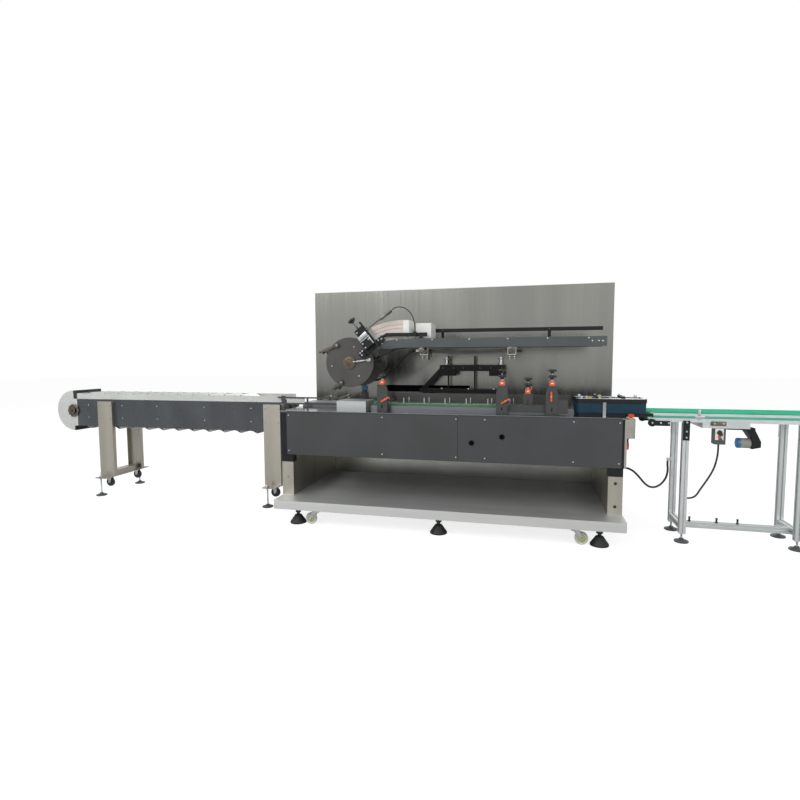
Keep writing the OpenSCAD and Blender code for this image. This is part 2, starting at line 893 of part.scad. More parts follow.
module support_rods() {
    color("silver") at_origin() {
        for (x = column_x)
            translate([x, bridge_y + bridge_d / 2, bridge_z + bridge_h])
                cylinder(d = column_d, h = column_h);
        for (x = arm_x) {
            bar_y(x, mag_y, cab_y, mag_under - rod_d / 2, rod_d);
            block([x - clamp_w / 2, mag_mid - clamp_d / 2, mag_under - clamp_h],
                [x + clamp_w / 2, mag_mid + clamp_d / 2, mag_under]);
            for (side = [-1, 1])
                translate([x + side * stud_side, mag_mid, mag_under - clamp_h - stud_h])
                    cylinder(d = stud_d, h = stud_h + 1);
        }
        translate([arm_x[0], hose_route[0][1], mag_under - rod_d / 2])
            rotate([0, -90, 0])
                cylinder(d = hose_d + 4, h = arm_x[0] - hose_route[0][0] - seat);
        block([dis_tab_x - 10, dis_mids[0] - dis_loop / 2 - dis_rim - 3, dis_base],
            [dis_tab_x + 10, dis_mids[0] - dis_loop / 2 - dis_rim, dis_z + dis_h + 5]);
    }
}

// Magazine

// Side view of a magazine plate: a straight beam with a bent-down delivery end
module mag_plate_2d() {
    difference() {
        union() {
            translate([fan_x, mag_top - mag_h])
                square([mag_right - fan_x, mag_h]);
            intersection() {
                translate([fan_x, fan_z])
                    difference() {
                        circle(fan_r, $fn = 180);
                        circle(fan_r - mag_h, $fn = 180);
                    }
                polygon([[fan_x, fan_z], [fan_x + 1, fan_z + 2 * fan_r],
                    [fan_x - 2 * fan_r * tan(fan_angle), fan_z + 2 * fan_r]]);
            }
        }
        translate([mag_right - 45, mag_top - 40])
            square([28, 9]);
    }
}

module magazine_plates() {
    color("dimgray") at_origin() {
        for (y = [mag_y, mag_back])
            plate_y(y, mag_t)
                mag_plate_2d();
        for (x = mag_bars)
            bar_y(x, mag_y + mag_t - 1, mag_back + 1, mag_top - 50, 20);
        for (x = [belt_x, belt_x + belt_span])
            bar_y(x, mag_y + mag_t - 1, mag_back + 1, mag_top - belt_r, 2 * (belt_r - belt_t - seat));
    }
}

module magazine_belt() {
    belt_w = 24;
    color("mediumseagreen") at_origin()
        for (y = [mag_mid - 60, mag_mid + 60 - belt_w])
            plate_y(y, belt_w)
                translate([belt_x, mag_top - belt_r])
                    loop_2d(belt_span, belt_r, belt_t);
}

module guide_rails() {
    hand_top = hand_rail_z + hand_rail_h;
    drop = hand_rail_h;
    gland_x = cable_route[len(cable_route) - 1][0];
    color("black") at_origin() {
        block([rail_left, mag_back, rail_low], [rail_right, mag_back + mag_t, rail_low + rail_h]);
        for (x = rail_posts)
            block([x, mag_back + 1, mag_top], [x + 22, mag_back + mag_t - 1, rail_low + 1]);
        plate_y(mag_y, mag_t)
            polygon([[hand_rail_x[1], hand_rail_z], [hand_rail_x[1], hand_top], [hand_rail_x[0], hand_top],
                [hand_rail_x[0] - 44, hand_top - drop], [hand_rail_x[0] - 44, hand_rail_z - drop / 2],
                [hand_rail_x[0] + 4, hand_rail_z]]);
        block([arm_x[0] - 15, mag_y + 1, mag_top], [arm_x[0] + 5, mag_y + mag_t - 1, hand_rail_z + 1]);
        block([gland_x - 12, mag_y - 20, hand_rail_z + 4], [gland_x + 12, mag_y + 1, hand_top + 7]);
    }
}

module carton_stack() {
    low = fan_r + seat;
    color("linen") at_origin() {
        plate_y(mag_mid - blank_d / 2, blank_d)
            union() {
                translate([fan_x, mag_top + seat])
                    square([blank_straight, blank_h]);
                intersection() {
                    translate([fan_x, fan_z])
                        difference() {
                            circle(low + blank_h, $fn = 180);
                            circle(low, $fn = 180);
                        }
                    polygon([[fan_x, fan_z], [fan_x + 1, fan_z + 2 * fan_r],
                        [fan_x - 2 * fan_r * tan(fan_angle), fan_z + 2 * fan_r]]);
                }
            }
    }
}

module carton_follower() {
    color("white") at_origin()
        block([follower_x[0], mag_mid - follower_d / 2, mag_top + seat],
            [follower_x[1], mag_mid + follower_d / 2, mag_top + follower_h]);
}

// Feeder

module drum() {
    barrel_d = 230;
    color("dimgray") at_origin()
        difference() {
            union() {
                bar_y(drum_x, drum_y, drum_y + drum_plate, drum_z, drum_d);
                bar_y(drum_x, drum_back - drum_plate, drum_back, drum_z, drum_d);
                bar_y(drum_x, drum_y + 1, drum_back - 1, drum_z, barrel_d);
                bar_y(drum_x, drum_back - 1, cab_y - 40, drum_z, drum_shaft_d);
            }
        }
}

// One suction arm: a cross shaft with two fingers and their cups
module suction_arm(i) {
    px = drum_x + arm_r * cos(arm_turn[i]);
    pz = drum_z + arm_r * sin(arm_turn[i]);
    reach = -arm_r * cos(arm_dir[i] - arm_turn[i])
        + sqrt(pow(arm_reach, 2) - pow(arm_r * sin(arm_dir[i] - arm_turn[i]), 2));
    bar_y(px, drum_y + drum_plate, drum_back - drum_plate, pz, arm_shaft_d);
    for (y = arm_y)
        translate([px, y, pz])
            rotate([0, -arm_dir[i], 0]) {
                translate([0, -10, -9])
                    cube([reach - 30, 20, 18]);
                rotate([0, 90, 0])
                    rotate_extrude()
                        polygon([[0, 1], [7, 1], [7, reach - 28], [11, reach - 24], [8, reach - 18],
                            [13, reach - 12], [9, reach - 8], [cup_d / 2, reach], [0, reach - 4]]);
            }
    if (i < 2) {
        bar_y(px, boss_y, drum_y, pz, finger_boss);
        translate([px, finger_y, pz])
            rotate([0, -arm_dir[i], 0]) {
                translate([0, -finger_w / 2, -9])
                    cube([reach - 30, finger_w, 18]);
                rotate([0, 90, 0])
                    rotate_extrude()
                        polygon([[0, 1], [6, 1], [6, reach - 20], [8, reach - 16], [6, reach - 11],
                            [finger_cup / 2, reach], [0, reach - 4]]);
            }
    }
}

module suction_arms() {
    color("black") at_origin()
        for (i = [0:2])
            suction_arm(i);
}

module drum_hub() {
    color("darkgoldenrod") at_origin() {
        plate_y(drum_y - link_t, link_t)
            translate([drum_x, drum_z]) {
                circle(d = hub_d);
                rotate(arm_turn[2])
                    translate([0, -link_w / 2])
                        square([arm_r, link_w]);
                rotate(arm_turn[2])
                    translate([arm_r, 0])
                        circle(d = 1.5 * link_w);
            }
        bar_y(drum_x, drum_y - hub_h, drum_y - 1, drum_z, hub_d - 24);
    }
}

module drum_bearing() {
    sleeve_d = 110;
    flange_d = 190;
    start = drum_back + 12;
    color("gray") at_origin()
        difference() {
            union() {
                bar_y(drum_x, start, cab_y, drum_z, sleeve_d);
                bar_y(drum_x, cab_y - 20, cab_y, drum_z, flange_d);
            }
            bar_y(drum_x, start - cut, cab_y - 39.5, drum_z, drum_shaft_d + 2 * run_gap);
        }
}

module magazine_gate() {
    color("black") at_origin() {
        translate([gate_at[0], mag_y, gate_at[1]])
            rotate([0, -gate_lean, 0]) {
                block([-gate_bar, -44, -40], [0, -30, gate_len]);
                block([-128, -16, -25], [56, 0, 20]);
                block([-166, -40, -22], [-120, -1, 14]);
                block([-100, -52, 5], [1 - gate_bar, -15, 65]);
                block([-88, -46, 80], [1 - gate_bar, -28, 115]);
                block([-84, -50, 120], [1 - gate_bar, -18, gate_knob - 72]);
                translate([-49, -34, gate_knob - 73])
                    cylinder(d = 12, h = 74);
                translate([-49, -34, gate_knob])
                    linear_extrude(16)
                        star_2d();
            }
        plate_y(mag_y - gate_wedge_t, gate_wedge_t)
            polygon(gate_wedge);
    }
}

module cable_chain() {
    links = 40;
    sizes = [[18, 40, 30], [14, 32, 24]];
    sag = 12;
    lean = 5;
    near = [for (size = sizes) (size[0] * cos(lean) + size[2] * sin(lean)) / 2 + seat / 2];
    x0 = arm_x[0] + clamp_w / 2 + near[0];
    x1 = arm_x[1] - clamp_w / 2 - near[1];
    span = x1 - x0;
    top = mag_under - 22;
    color("black") at_origin() {
        for (i = [0:links - 1])
            let (s = i / (links - 1) * 2 - 1, slope = atan(4 * sag * s / span))
            translate([x0 + span * i / (links - 1), mag_mid, top - sag * (1 - s * s)])
                rotate([0, -slope, 0])
                    cube(sizes[i % 2], center = true);
    }
}

module carton_sensor() {
    color("gray") at_origin() {
        translate([gate_at[0], mag_y, gate_at[1]])
            rotate([0, -gate_lean, 0])
                block([0, -44, 107], [18, -30, 133]);
        translate([sensor_at[0], mag_y - 37, sensor_at[1]])
            rotate([0, 90 - sensor_lift, 0]) {
                translate([0, 0, -sensor_back])
                    cylinder(d = 10, h = 116 + sensor_back);
                translate([0, 0, 100])
                    cylinder(d = 26, h = sensor_len - 100);
            }
    }
}

module sensor_cable() {
    color("black") at_origin()
        tube(cable_route, cable_d, 8);
}

module vacuum_valve() {
    end = hose_route[len(hose_route) - 1];
    cap = end[2] - seat;
    color("royalblue") at_origin() {
        block([end[0] - 25, end[1] - 22, table_top_z + product_deck_h], [end[0] + 25, end[1] + 22, cap - 12]);
        block([end[0] - 32, end[1] - 30, cap - 12], [end[0] + 32, end[1] + 30, cap]);
    }
}

module vacuum_hose() {
    color("black") at_origin()
        tube(hose_route, hose_d, 10);
}

module table_cover() {
    color("darkgray") at_origin()
        block([-800, 42, table_top_z], [-572, 262, 917]);
}

// Discharge

module discharge_belts() {
    r = dis_loop / 2;
    color("midnightblue") at_origin()
        for (y = [dis_mid - dis_gap / 2 - r, dis_mid + dis_gap / 2 + r])
            translate([dis_left + r, y, dis_z])
                linear_extrude(dis_h)
                    loop_2d(dis_right - dis_left - 2 * r, r, dis_belt_t);
}

module discharge_frame() {
    r = dis_loop / 2;
    span = dis_right - dis_left - dis_loop;
    pulley = r - dis_belt_t - seat;
    top = dis_z + dis_h + 2;
    color("black") at_origin() {
        for (y = dis_mids) {
            translate([dis_left + r, y, dis_base])
                linear_extrude(dis_z - 2 - dis_base)
                    stadium_2d(span, r - dis_recess);
            translate([dis_left + r, y, top])
                linear_extrude(dis_plate)
                    stadium_2d(span, r + dis_rim);
            for (x = [dis_left + r, dis_right - r])
                translate([x, y, dis_z - 3])
                    cylinder(r = pulley, h = dis_h + 6);
        }
        for (x = dis_bridge_x)
            block([x - 12, dis_mids[0], top + 1], [x + 12, dis_mids[1], top + dis_plate + 14]);
        block([dis_left + 10, dis_mid - 30, dis_base], [dis_right - 10, dis_mid + 30, rail_top]);
        block([dis_right - 60, out_y - 8, dis_base], [out_left + 35, out_y, dis_z - 2]);
    }
}

module control_box() {
    low = [housing_right + end_plate_t, 3, 705];
    color("lightgray") at_origin()
        plate_y(low[1], 112)
            polygon([[low[0], low[2]], [low[0] + 48, low[2]], [low[0] + 48, 832], [low[0], 832]]);
}

module emergency_stop() {
    color("red") at_origin()
        translate([housing_right + end_plate_t + 24, 28, 832])
            rotate_extrude()
                polygon([[0, 0], [11, 0], [11, 14], [20, 14], [20, 26], [16, 32], [0, 32]]);
}

// Infeed conveyor

module infeed_side_plates() {
    flange = 26;
    color("darkslategray") at_origin()
        for (side = [0, 1])
            translate([inf_left, side == 0 ? inf_y : inf_back, inf_top - inf_h])
                rotate([90, 0, 90])
                    linear_extrude(inf_right - inf_left)
                        mirror([side, 0])
                            polygon([[0, 0], [flange, 0], [flange, inf_sheet], [inf_sheet, inf_sheet],
                                [inf_sheet, inf_h - inf_sheet], [flange, inf_h - inf_sheet], [flange, inf_h],
                                [0, inf_h]]);
}

module infeed_slats() {
    margin = 30;
    shaft_d = 40;
    span = inf_right - 40 - inf_belt_r - inf_axis[0];
    count = floor(span / flight_pitch);
    wheel_r = inf_belt_r - inf_belt_t - seat;
    color("silver") at_origin() {
        plate_y(inf_y + margin, inf_w - 2 * margin)
            translate(inf_axis) {
                loop_2d(span, inf_belt_r, inf_belt_t);
                for (k = [0:count - 1])
                    translate([k * flight_pitch, 0]) {
                        translate([0, inf_belt_r + seat])
                            flight_2d();
                        translate([flight_pitch, -inf_belt_r - seat])
                            rotate(180)
                                flight_2d();
                    }
            }
        for (x = [inf_axis[0], inf_axis[0] + span]) {
            bar_y(x, inf_y + inf_sheet, inf_back - inf_sheet, inf_axis[1], shaft_d);
            for (y = [inf_y + 60, inf_back - 80])
                bar_y(x, y, y + 20, inf_axis[1], 2 * wheel_r);
        }
    }
}

// Side view of a flight: a folded tray with an upright pusher and a sloping floor
module flight_2d() {
    difference() {
        polygon([[0, 0], [flight_len, 0], [flight_len, 3], [4, flight_h - seat], [0, flight_h - seat]]);
        polygon([[4, 4], [flight_len - 22, 4], [4, flight_h - 8]]);
    }
}

module infeed_guards() {
    color("ivory") at_origin() {
        for (y = [inf_y, inf_back - guard_sheet])
            block([inf_left, y, inf_top], [inf_right, y + guard_sheet, inf_top + trim_h]);
        block([inf_right + 60, inf_y, inf_top - 6], [housing_left + 40, inf_y + guard_sheet, inf_top + 42]);
        difference() {
            bar_y(inf_axis[0], inf_y - guard_sheet, inf_back + guard_sheet, inf_axis[1], 2 * guard_r);
            bar_y(inf_axis[0], inf_y, inf_back, inf_axis[1], 2 * (guard_r - guard_sheet));
            block([inf_axis[0], inf_y - guard_sheet - cut, inf_axis[1] - guard_r - cut],
                [inf_axis[0] + guard_r + cut, inf_back + guard_sheet + cut, inf_axis[1] + guard_r + cut]);
        }
        for (y = [inf_y - guard_sheet, inf_back])
            block([inf_axis[0] - 1, y, inf_top - inf_h], [inf_left + 30, y + guard_sheet, inf_top]);
    }
}

module infeed_legs() {
    low = leg_foot + foot_plate_t - 1;
    color("tan") at_origin()
        for (x = inf_leg_x) {
            for (y = [inf_y - leg_d, inf_back])
                difference() {
                    block([x - inf_leg_w / 2, y, low], [x + inf_leg_w / 2, y + leg_d, inf_leg_top]);
                    block([x - inf_leg_w / 2 + leg_sheet, y < inf_y ? y + leg_sheet : y - cut, low + 12],
                        [x + inf_leg_w / 2 - leg_sheet, y < inf_y ? y + leg_d + cut : y + leg_d - leg_sheet,
                            inf_leg_top - leg_sheet]);
                }
            block([x - cross_w / 2, inf_y - 1, low], [x + cross_w / 2, inf_back + 1, low + cross_h]);
            block([x - foot_plate_w / 2, inf_y - foot_reach, leg_foot],
                [x + foot_plate_w / 2, inf_back + foot_reach, leg_foot + foot_plate_t]);
        }
}

module conveyor_feet() {
    color("black") at_origin() {
        for (x = inf_leg_x) for (y = [inf_y - stem_out, inf_back + stem_out])
            translate([x + stem_side, y, 0]) {
                level_foot(leg_foot);
                translate([0, 0, leg_foot + foot_plate_t])
                    cylinder(d = stem_d, h = stem_over);
                translate([0, 0, leg_foot + foot_plate_t])
                    cylinder(d = 2 * stem_d, h = stem_d / 2, $fn = 6);
            }
        for (x = inf_leg_x) for (y = [inf_y - leg_d / 2, inf_back + leg_d / 2])
            translate([x + 14, y, leg_foot])
                small_caster();
        for (x = out_legs_x) for (y = [out_y, out_back - profile])
            translate([x + profile / 2, y + profile / 2, 0])
                level_foot(out_stem);
    }
}

// A small fixed caster under a foot plate: top plate, two cheeks and a wheel on its axle
module small_caster() {
    drop = leg_foot - small_wheel_z;
    half = small_wheel_w / 2;
    block([-22, -half - 6, -6], [22, half + 6, 0]);
    for (y = [-half - 6, half + 2])
        plate_y(y, 4)
            polygon([[-20, -1], [20, -1], [9, -drop - 8], [-9, -drop - 8]]);
    bar_y(0, -half - 9, half + 9, -drop, 12);
    bar_y(0, -half, half, -drop, small_wheel_d);
}

// Take-off conveyor

module outfeed_belt() {
    color("limegreen") at_origin()
        plate_y(out_y + 12, out_w - 24)
            translate([out_left + out_roll_r, out_top - out_roll_r])
                loop_2d(out_len - 2 * out_roll_r, out_roll_r, out_belt_t);
}

module outfeed_frame() {
    roller_d = 2 * (out_roll_r - out_belt_t - seat);
    color("silver") at_origin() {
        for (side = [0, 1])
            difference() {
                block([out_left + 20, side == 0 ? out_y : out_back - out_side_t, out_side_low],
                    [out_right - 20, side == 0 ? out_y + out_side_t : out_back, out_side_low + out_side_h]);
                block([out_left + 20 - cut, side == 0 ? out_y - cut : out_back - 4, out_side_low + 26],
                    [out_right - 20 + cut, side == 0 ? out_y + 4 : out_back + cut, out_side_low + 26 + groove]);
            }
        for (x = [out_left + out_roll_r, out_right - out_roll_r])
            bar_y(x, out_y + 10, out_back - 10, out_top - out_roll_r, roller_d);
        block([out_tray_x[0], out_y + 6, out_side_low - out_tray_h],
            [out_tray_x[1], out_back - 6, out_side_low + 1]);
    }
}

module outfeed_legs() {
    mid = profile / 2;
    y_front = out_y + mid;
    y_back = out_back - mid;
    color("silver") at_origin() {
        for (x = out_legs_x) {
            for (y = [y_front, y_back])
                translate([x + mid, y, out_stem])
                    linear_extrude(out_side_low - out_stem)
                        slotted_2d();
            translate([x + mid, y_front + mid + seat, stretch_z + mid])
                rotate([-90, 0, 0])
                    linear_extrude(out_w - 2 * profile - 2 * seat)
                        slotted_2d();
        }
        translate([out_legs_x[0] + profile + seat, y_front + stretch_in, stretch_z + mid])
            rotate([0, 90, 0])
                linear_extrude(out_legs_x[1] - out_legs_x[0] - profile - 2 * seat)
                    slotted_2d();
        block([out_legs_x[0] - 22, y_back - 14, gland_z[0]], [out_legs_x[0], y_back + 14, gland_z[1]]);
    }
}

module outfeed_drive() {
    nose_r = 26;
    nose_z = out_side_low - 8;
    plate = 5;
    color("dimgray") at_origin() {
        for (y = [out_y - plate, out_back])
            plate_y(y, plate) {
                translate([out_left + nose_r + 4, nose_z])
                    circle(nose_r);
                translate([out_left + nose_r + 4, nose_z - 20])
                    square([nose_len, 34]);
            }
        for (x = out_legs_x) for (y = [out_y - plate, out_back])
            block([x, y, out_side_low - 120], [x + profile, y + plate, out_side_low + 10]);
        block([box_x + 90, motor_y - 20, out_side_low - out_tray_h - 14],
            [motor_x + 76, motor_y + 60, out_side_low - out_tray_h]);
        plate_y(motor_y - 20, 80)
            polygon([[motor_x + 20, out_side_low - out_tray_h - 13], [motor_x + 76, out_side_low - out_tray_h - 13],
                [motor_x + 112, motor_z + 16], [motor_x + 112, motor_z - 22], [motor_x + motor_len - 1, motor_z - 34],
                [motor_x + motor_len - 1, motor_z + 30]]);
        translate([motor_x, motor_y + 20, motor_z])
            rotate([0, 90, 0])
                cylinder(d = motor_d, h = motor_len);
    }
}

module outfeed_switch_box() {
    hang = out_side_low - out_tray_h;
    mid = box_x + box_w / 2;
    color("lightgray") at_origin() {
        block([box_x, out_y + 2, hang - box_h], [box_x + box_w, out_y + 2 + box_d, hang]);
        bar_y(mid, out_y - 12, out_y + 3, hang - 38, 24);
        block([mid - 11, out_y - 4, hang - 82], [mid + 11, out_y + 3, hang - 62]);
    }
}

module link_cable() {
    color("black") at_origin()
        tube(link_route, link_d, 8);
}

module switch_cable() {
    color("black") at_origin()
        tube(switch_route, switch_d, 8);
}

base_tray();
machine_feet();
caster_fork_1();
caster_fork_2();
caster_fork_3();
caster_fork_4();
caster_wheel_1();
caster_wheel_2();
caster_wheel_3();
caster_wheel_4();
side_frames();
conveyor_housing();
front_covers();
table_top();
cabinet();
lug_chains();
chain_shafts();
deck_rails();
wear_strips();
guide_plates();
adjuster_posts();
adjuster_fittings();
star_knob_1();
star_knob_2();
star_knob_3();
star_knob_4();
pusher_bridge();
support_rods();
magazine_plates();
magazine_belt();
guide_rails();
carton_stack();
carton_follower();
drum();
suction_arms();
drum_hub();
drum_bearing();
magazine_gate();
cable_chain();
carton_sensor();
sensor_cable();
vacuum_valve();
vacuum_hose();
table_cover();
discharge_belts();
discharge_frame();
control_box();
emergency_stop();
infeed_side_plates();
infeed_slats();
infeed_guards();
infeed_legs();
conveyor_feet();
outfeed_belt();
outfeed_frame();
outfeed_legs();
outfeed_drive();
outfeed_switch_box();
link_cable();
switch_cable();
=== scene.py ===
"""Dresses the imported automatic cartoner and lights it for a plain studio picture.

Sizes in the code are millimetres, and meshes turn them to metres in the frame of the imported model.
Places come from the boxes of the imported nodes, or from the middle of the front covers, where the part's
own drawing starts.
"""

import logging
import math
from collections.abc import Callable, Sequence
from dataclasses import dataclass
from enum import Enum
from functools import reduce
from operator import add as join

import bmesh
import bpy
import numpy as np
from mathutils import Matrix, Vector


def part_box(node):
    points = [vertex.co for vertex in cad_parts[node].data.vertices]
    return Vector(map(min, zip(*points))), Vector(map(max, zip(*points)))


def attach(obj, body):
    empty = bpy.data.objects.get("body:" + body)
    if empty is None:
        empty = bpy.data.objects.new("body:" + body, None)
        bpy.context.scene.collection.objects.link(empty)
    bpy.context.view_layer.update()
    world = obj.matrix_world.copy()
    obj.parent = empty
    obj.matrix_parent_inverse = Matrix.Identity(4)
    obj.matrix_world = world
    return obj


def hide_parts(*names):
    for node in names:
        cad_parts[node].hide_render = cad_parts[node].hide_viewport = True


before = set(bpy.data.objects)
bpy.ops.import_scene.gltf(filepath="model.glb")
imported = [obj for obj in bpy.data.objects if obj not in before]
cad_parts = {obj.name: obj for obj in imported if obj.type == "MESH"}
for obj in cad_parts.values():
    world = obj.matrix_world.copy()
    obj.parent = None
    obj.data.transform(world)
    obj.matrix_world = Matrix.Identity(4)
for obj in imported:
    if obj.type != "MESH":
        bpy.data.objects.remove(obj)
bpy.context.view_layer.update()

MM = 0.001
ROUND = 2 * math.pi
LOG = logging.getLogger("cartoner")
Outline = Callable[[np.ndarray], np.ndarray]
# A row holds numbers that belong together, and a block two corners and the radius of its edges
Row = tuple[float, ...]
Rows = tuple[Row, ...]
Block = tuple[Row, Row, float]
Blocks = tuple[Block, ...]


# Small tools for colours, nodes and places


def linear(colour: str) -> tuple[float, float, float, float]:
    """Turns an sRGB hex colour to linear light.

    Args:
        colour: The colour as "#rrggbb".

    Returns:
        Red, green, blue and an alpha of one.
    """
    srgb = np.array([int(colour[i:i + 2], 16) for i in (1, 3, 5)]) / 255
    light = np.where(srgb <= 0.04045, srgb / 12.92, ((srgb + 0.055) / 1.055) ** 2.4)
    return (*light.tolist(), 1.0)


def add(tree: bpy.types.NodeTree, kind: str, inputs: dict | None = None,
        **settings: object) -> bpy.types.Node:
    """Adds one node to a tree.

    Args:
        tree: The node tree.
        kind: The node's type name.
        inputs: Values for its sockets, or the sockets that feed them, by name or number.
        settings: Its own properties.

    Returns:
        The new node.
    """
    node = tree.nodes.new(kind)
    for key, value in settings.items():
        setattr(node, key, value)
    for key, value in (inputs or {}).items():
        if isinstance(value, bpy.types.NodeSocket):
            tree.links.new(value, node.inputs[key])
        else:
            node.inputs[key].default_value = value
    return node


def box(node: str) -> tuple[np.ndarray, np.ndarray]:
    """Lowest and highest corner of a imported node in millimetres."""
    low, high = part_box(node)
    return np.array(low) / MM, np.array(high) / MM


COVERS = box("front_covers")
START = np.array([(COVERS[0][0] + COVERS[1][0]) / 2, COVERS[0][1], 0.0])


def at(x: float, y: float, z: float) -> np.ndarray:
    """A point given from the middle of the front covers, as in the part's drawing."""
    return START + (x, y, z)


def in_row(xs: Sequence[float], y: float, z: float) -> list[np.ndarray]:
    """A row of points along X at one depth and height, from the middle of the front covers."""
    return [at(x, y, z) for x in xs]


class Facing(Enum):
    """The way that a fitting's own +Z looks."""

    DOWN = (0, 0, -1)
    FRONT = (0, -1, 0)
    BACK = (0, 1, 0)
    LEFT = (-1, 0, 0)
    RIGHT = (1, 0, 0)

    def turn(self) -> np.ndarray:
        """Turn that carries +Z to this direction, with +Y kept upright on a wall."""
        out = np.array(self.value, float)
        up = np.array([0.0, 0.0, 1.0]) if out[2] == 0 else np.array([0.0, out[2], 0.0])
        return np.stack([np.cross(up, out), up, out], axis=1)


def lean(degrees: float) -> np.ndarray:
    """Turn about +Y that leans an upright piece towards -X by an angle."""
    c, s = math.cos(math.radians(degrees)), math.sin(math.radians(degrees))
    return np.array([[c, 0.0, -s], [0.0, 1.0, 0.0], [s, 0.0, c]])


# Surfaces worked out on grids


@dataclass
class Surface:
    """Points with the faces between them, in millimetres."""

    points: np.ndarray
    faces: list[np.ndarray]

    def turned(self, turn: np.ndarray) -> "Surface":
        """The surface turned by a matrix about its origin."""
        return Surface(self.points @ turn.T, self.faces)

    def moved(self, by: Sequence[float]) -> "Surface":
        """The surface carried by a step."""
        return Surface(self.points + np.asarray(by, float), self.faces)

    def facing(self, way: Facing) -> "Surface":
        """The surface with its +Z turned to a direction."""
        return self.turned(way.turn())

    def copied(self, places: Sequence[Sequence[float]], turns: np.ndarray | None = None) -> "Surface":
        """Copies at many places, by adding each place to all points at once.

        Args:
            places: Where the copies' origins go.
            turns: One turn for each copy, or none.

        Returns:
            One surface with all copies.
        """
        spots = np.asarray(places, float).reshape(-1, 3)
        base = self.points[None] if turns is None else np.einsum("kij,nj->kni", turns, self.points)
        points = (base + spots[:, None]).reshape(-1, 3)
        shift = np.arange(len(spots))[:, None, None] * len(self.points)
        return Surface(points, [(block[None] + shift).reshape(-1, block.shape[1]) for block in self.faces])

    def __add__(self, other: "Surface") -> "Surface":
        """Both surfaces as one."""
        shifted = [block + len(self.points) for block in other.faces]
        return Surface(np.concatenate([self.points, other.points]), self.faces + shifted)


def grid_faces(rows: int, cols: int, wrap: bool = True, ring: bool = False) -> np.ndarray:
    """Quads between neighbouring rows and columns of a grid of points.

    Args:
        rows: Number of rows.
        cols: Points in a row.
        wrap: Joins the last column to the first.
        ring: Joins the last row to the first.

    Returns:
        Four point numbers for each quad.
    """
    a, b = np.meshgrid(np.arange(rows - (not ring)), np.arange(cols - (not wrap)), indexing="ij")
    up, on = (a + 1) % rows, (b + 1) % cols
    return np.stack([a * cols + b, a * cols + on, up * cols + on, up * cols + b], axis=-1).reshape(-1, 4)


def shell(points: np.ndarray, ring: bool = False) -> Surface:
    """A closed skin over a grid whose rows are closed loops, with a cap at each open end."""
    rows, cols = points.shape[:2]
    faces = [grid_faces(rows, cols, ring=ring)]
    if not ring:
        loop = np.arange(cols)
        faces.append(np.stack([loop[::-1], loop + (rows - 1) * cols]))
    return Surface(points.reshape(-1, 3), faces)


def lathe(rows: Sequence[Row], outline: Outline | None = None, steps: int = 32,
          ring: bool = False) -> Surface:
    """Turns a profile about +Z.

    At angle t the point of a row lies r * (1 + w * (f(t) - 1)) out from the axis and z up, where f is the
    outline and w is the row's share of it, so a row with w 0 is round.

    Args:
        rows: Radius, height and, for a shaped row, the share of the outline.
        outline: Radius factor by angle.
        steps: Points round the axis.
        ring: True for a profile that closes on itself and leaves a bore.

    Returns:
        The turned surface.
    """
    table = np.array([(*row, 0.0)[:3] for row in rows], float)
    t = np.linspace(0, ROUND, steps, endpoint=False)
    factor = np.ones(steps) if outline is None else outline(t)
    r = table[:, :1] * (1 + table[:, 2:] * (factor - 1))
    z = np.broadcast_to(table[:, 1:2], r.shape)
    return shell(np.stack([r * np.cos(t), r * np.sin(t), z], axis=-1), ring)


def thread(radius: float, length: float, pitch: float, steps: int = 16) -> Surface:
    """A threaded rod along +Z: the radius falls and rises once a pitch, and the angle shifts that wave."""
    z = np.linspace(0, length, int(length / pitch * 5) + 2)[:, None]
    t = np.linspace(0, ROUND, steps, endpoint=False)[None]
    r = radius - 0.22 * pitch * (1 - np.cos(ROUND * z / pitch - t))
    return shell(np.stack([r * np.cos(t), r * np.sin(t), np.broadcast_to(z, r.shape)], axis=-1))


def round_rect(width: float, height: float, radius: float, steps: int = 5) -> np.ndarray:
    """Outline of a rectangle with round corners: quarter circles about four corner centres, in turn."""
    t = np.linspace(0, math.pi / 2, steps)[None] + np.arange(4)[:, None] * math.pi / 2
    x = np.array([[1], [-1], [-1], [1]]) * (width / 2 - radius) + radius * np.cos(t)
    y = np.array([[1], [1], [-1], [-1]]) * (height / 2 - radius) + radius * np.sin(t)
    return np.stack([x.ravel(), y.ravel()], axis=-1)


def prism(outline: np.ndarray, height: float, edge: float = 0.8) -> Surface:
    """Carries a closed outline up +Z, with its rims rounded.

    Near each end the outline is drawn in along its own normals by a quarter circle of the edge's radius.

    Args:
        outline: Points in turn, counter-clockwise.
        height: Length along +Z.
        edge: Radius of the rims.

    Returns:
        The solid's skin.
    """
    ahead = np.roll(outline, -1, axis=0) - np.roll(outline, 1, axis=0)
    out = np.stack([ahead[:, 1], -ahead[:, 0]], axis=-1)
    out /= np.linalg.norm(out, axis=1, keepdims=True)
    a = np.linspace(0, math.pi / 2, 4)
    inset = np.concatenate([edge * (1 - np.sin(a)), edge * (1 - np.cos(a))])
    level = np.concatenate([edge * (1 - np.cos(a)), height - edge * (1 - np.sin(a))])
    flat = outline[None] - inset[:, None, None] * out[None]
    z = np.broadcast_to(level[:, None, None], flat.shape[:2] + (1,))
    return shell(np.concatenate([flat, z], axis=-1))


def slab(low: Sequence[float], high: Sequence[float], radius: float = 1.5) -> Surface:
    """A block between two corners with all its edges rounded, as a prism of a round rectangle."""
    a, b = np.asarray(low, float), np.asarray(high, float)
    size = b - a
    r = min(radius, 0.45 * size.min())
    return prism(round_rect(size[0], size[1], r, 4), size[2], r).moved([*(a + b)[:2] / 2, a[2]])


def blocks(parts: Sequence[Block]) -> Surface:
    """Several slabs as one surface, each given by its two corners and the radius of its edges."""
    return reduce(join, [slab(*part) for part in parts])


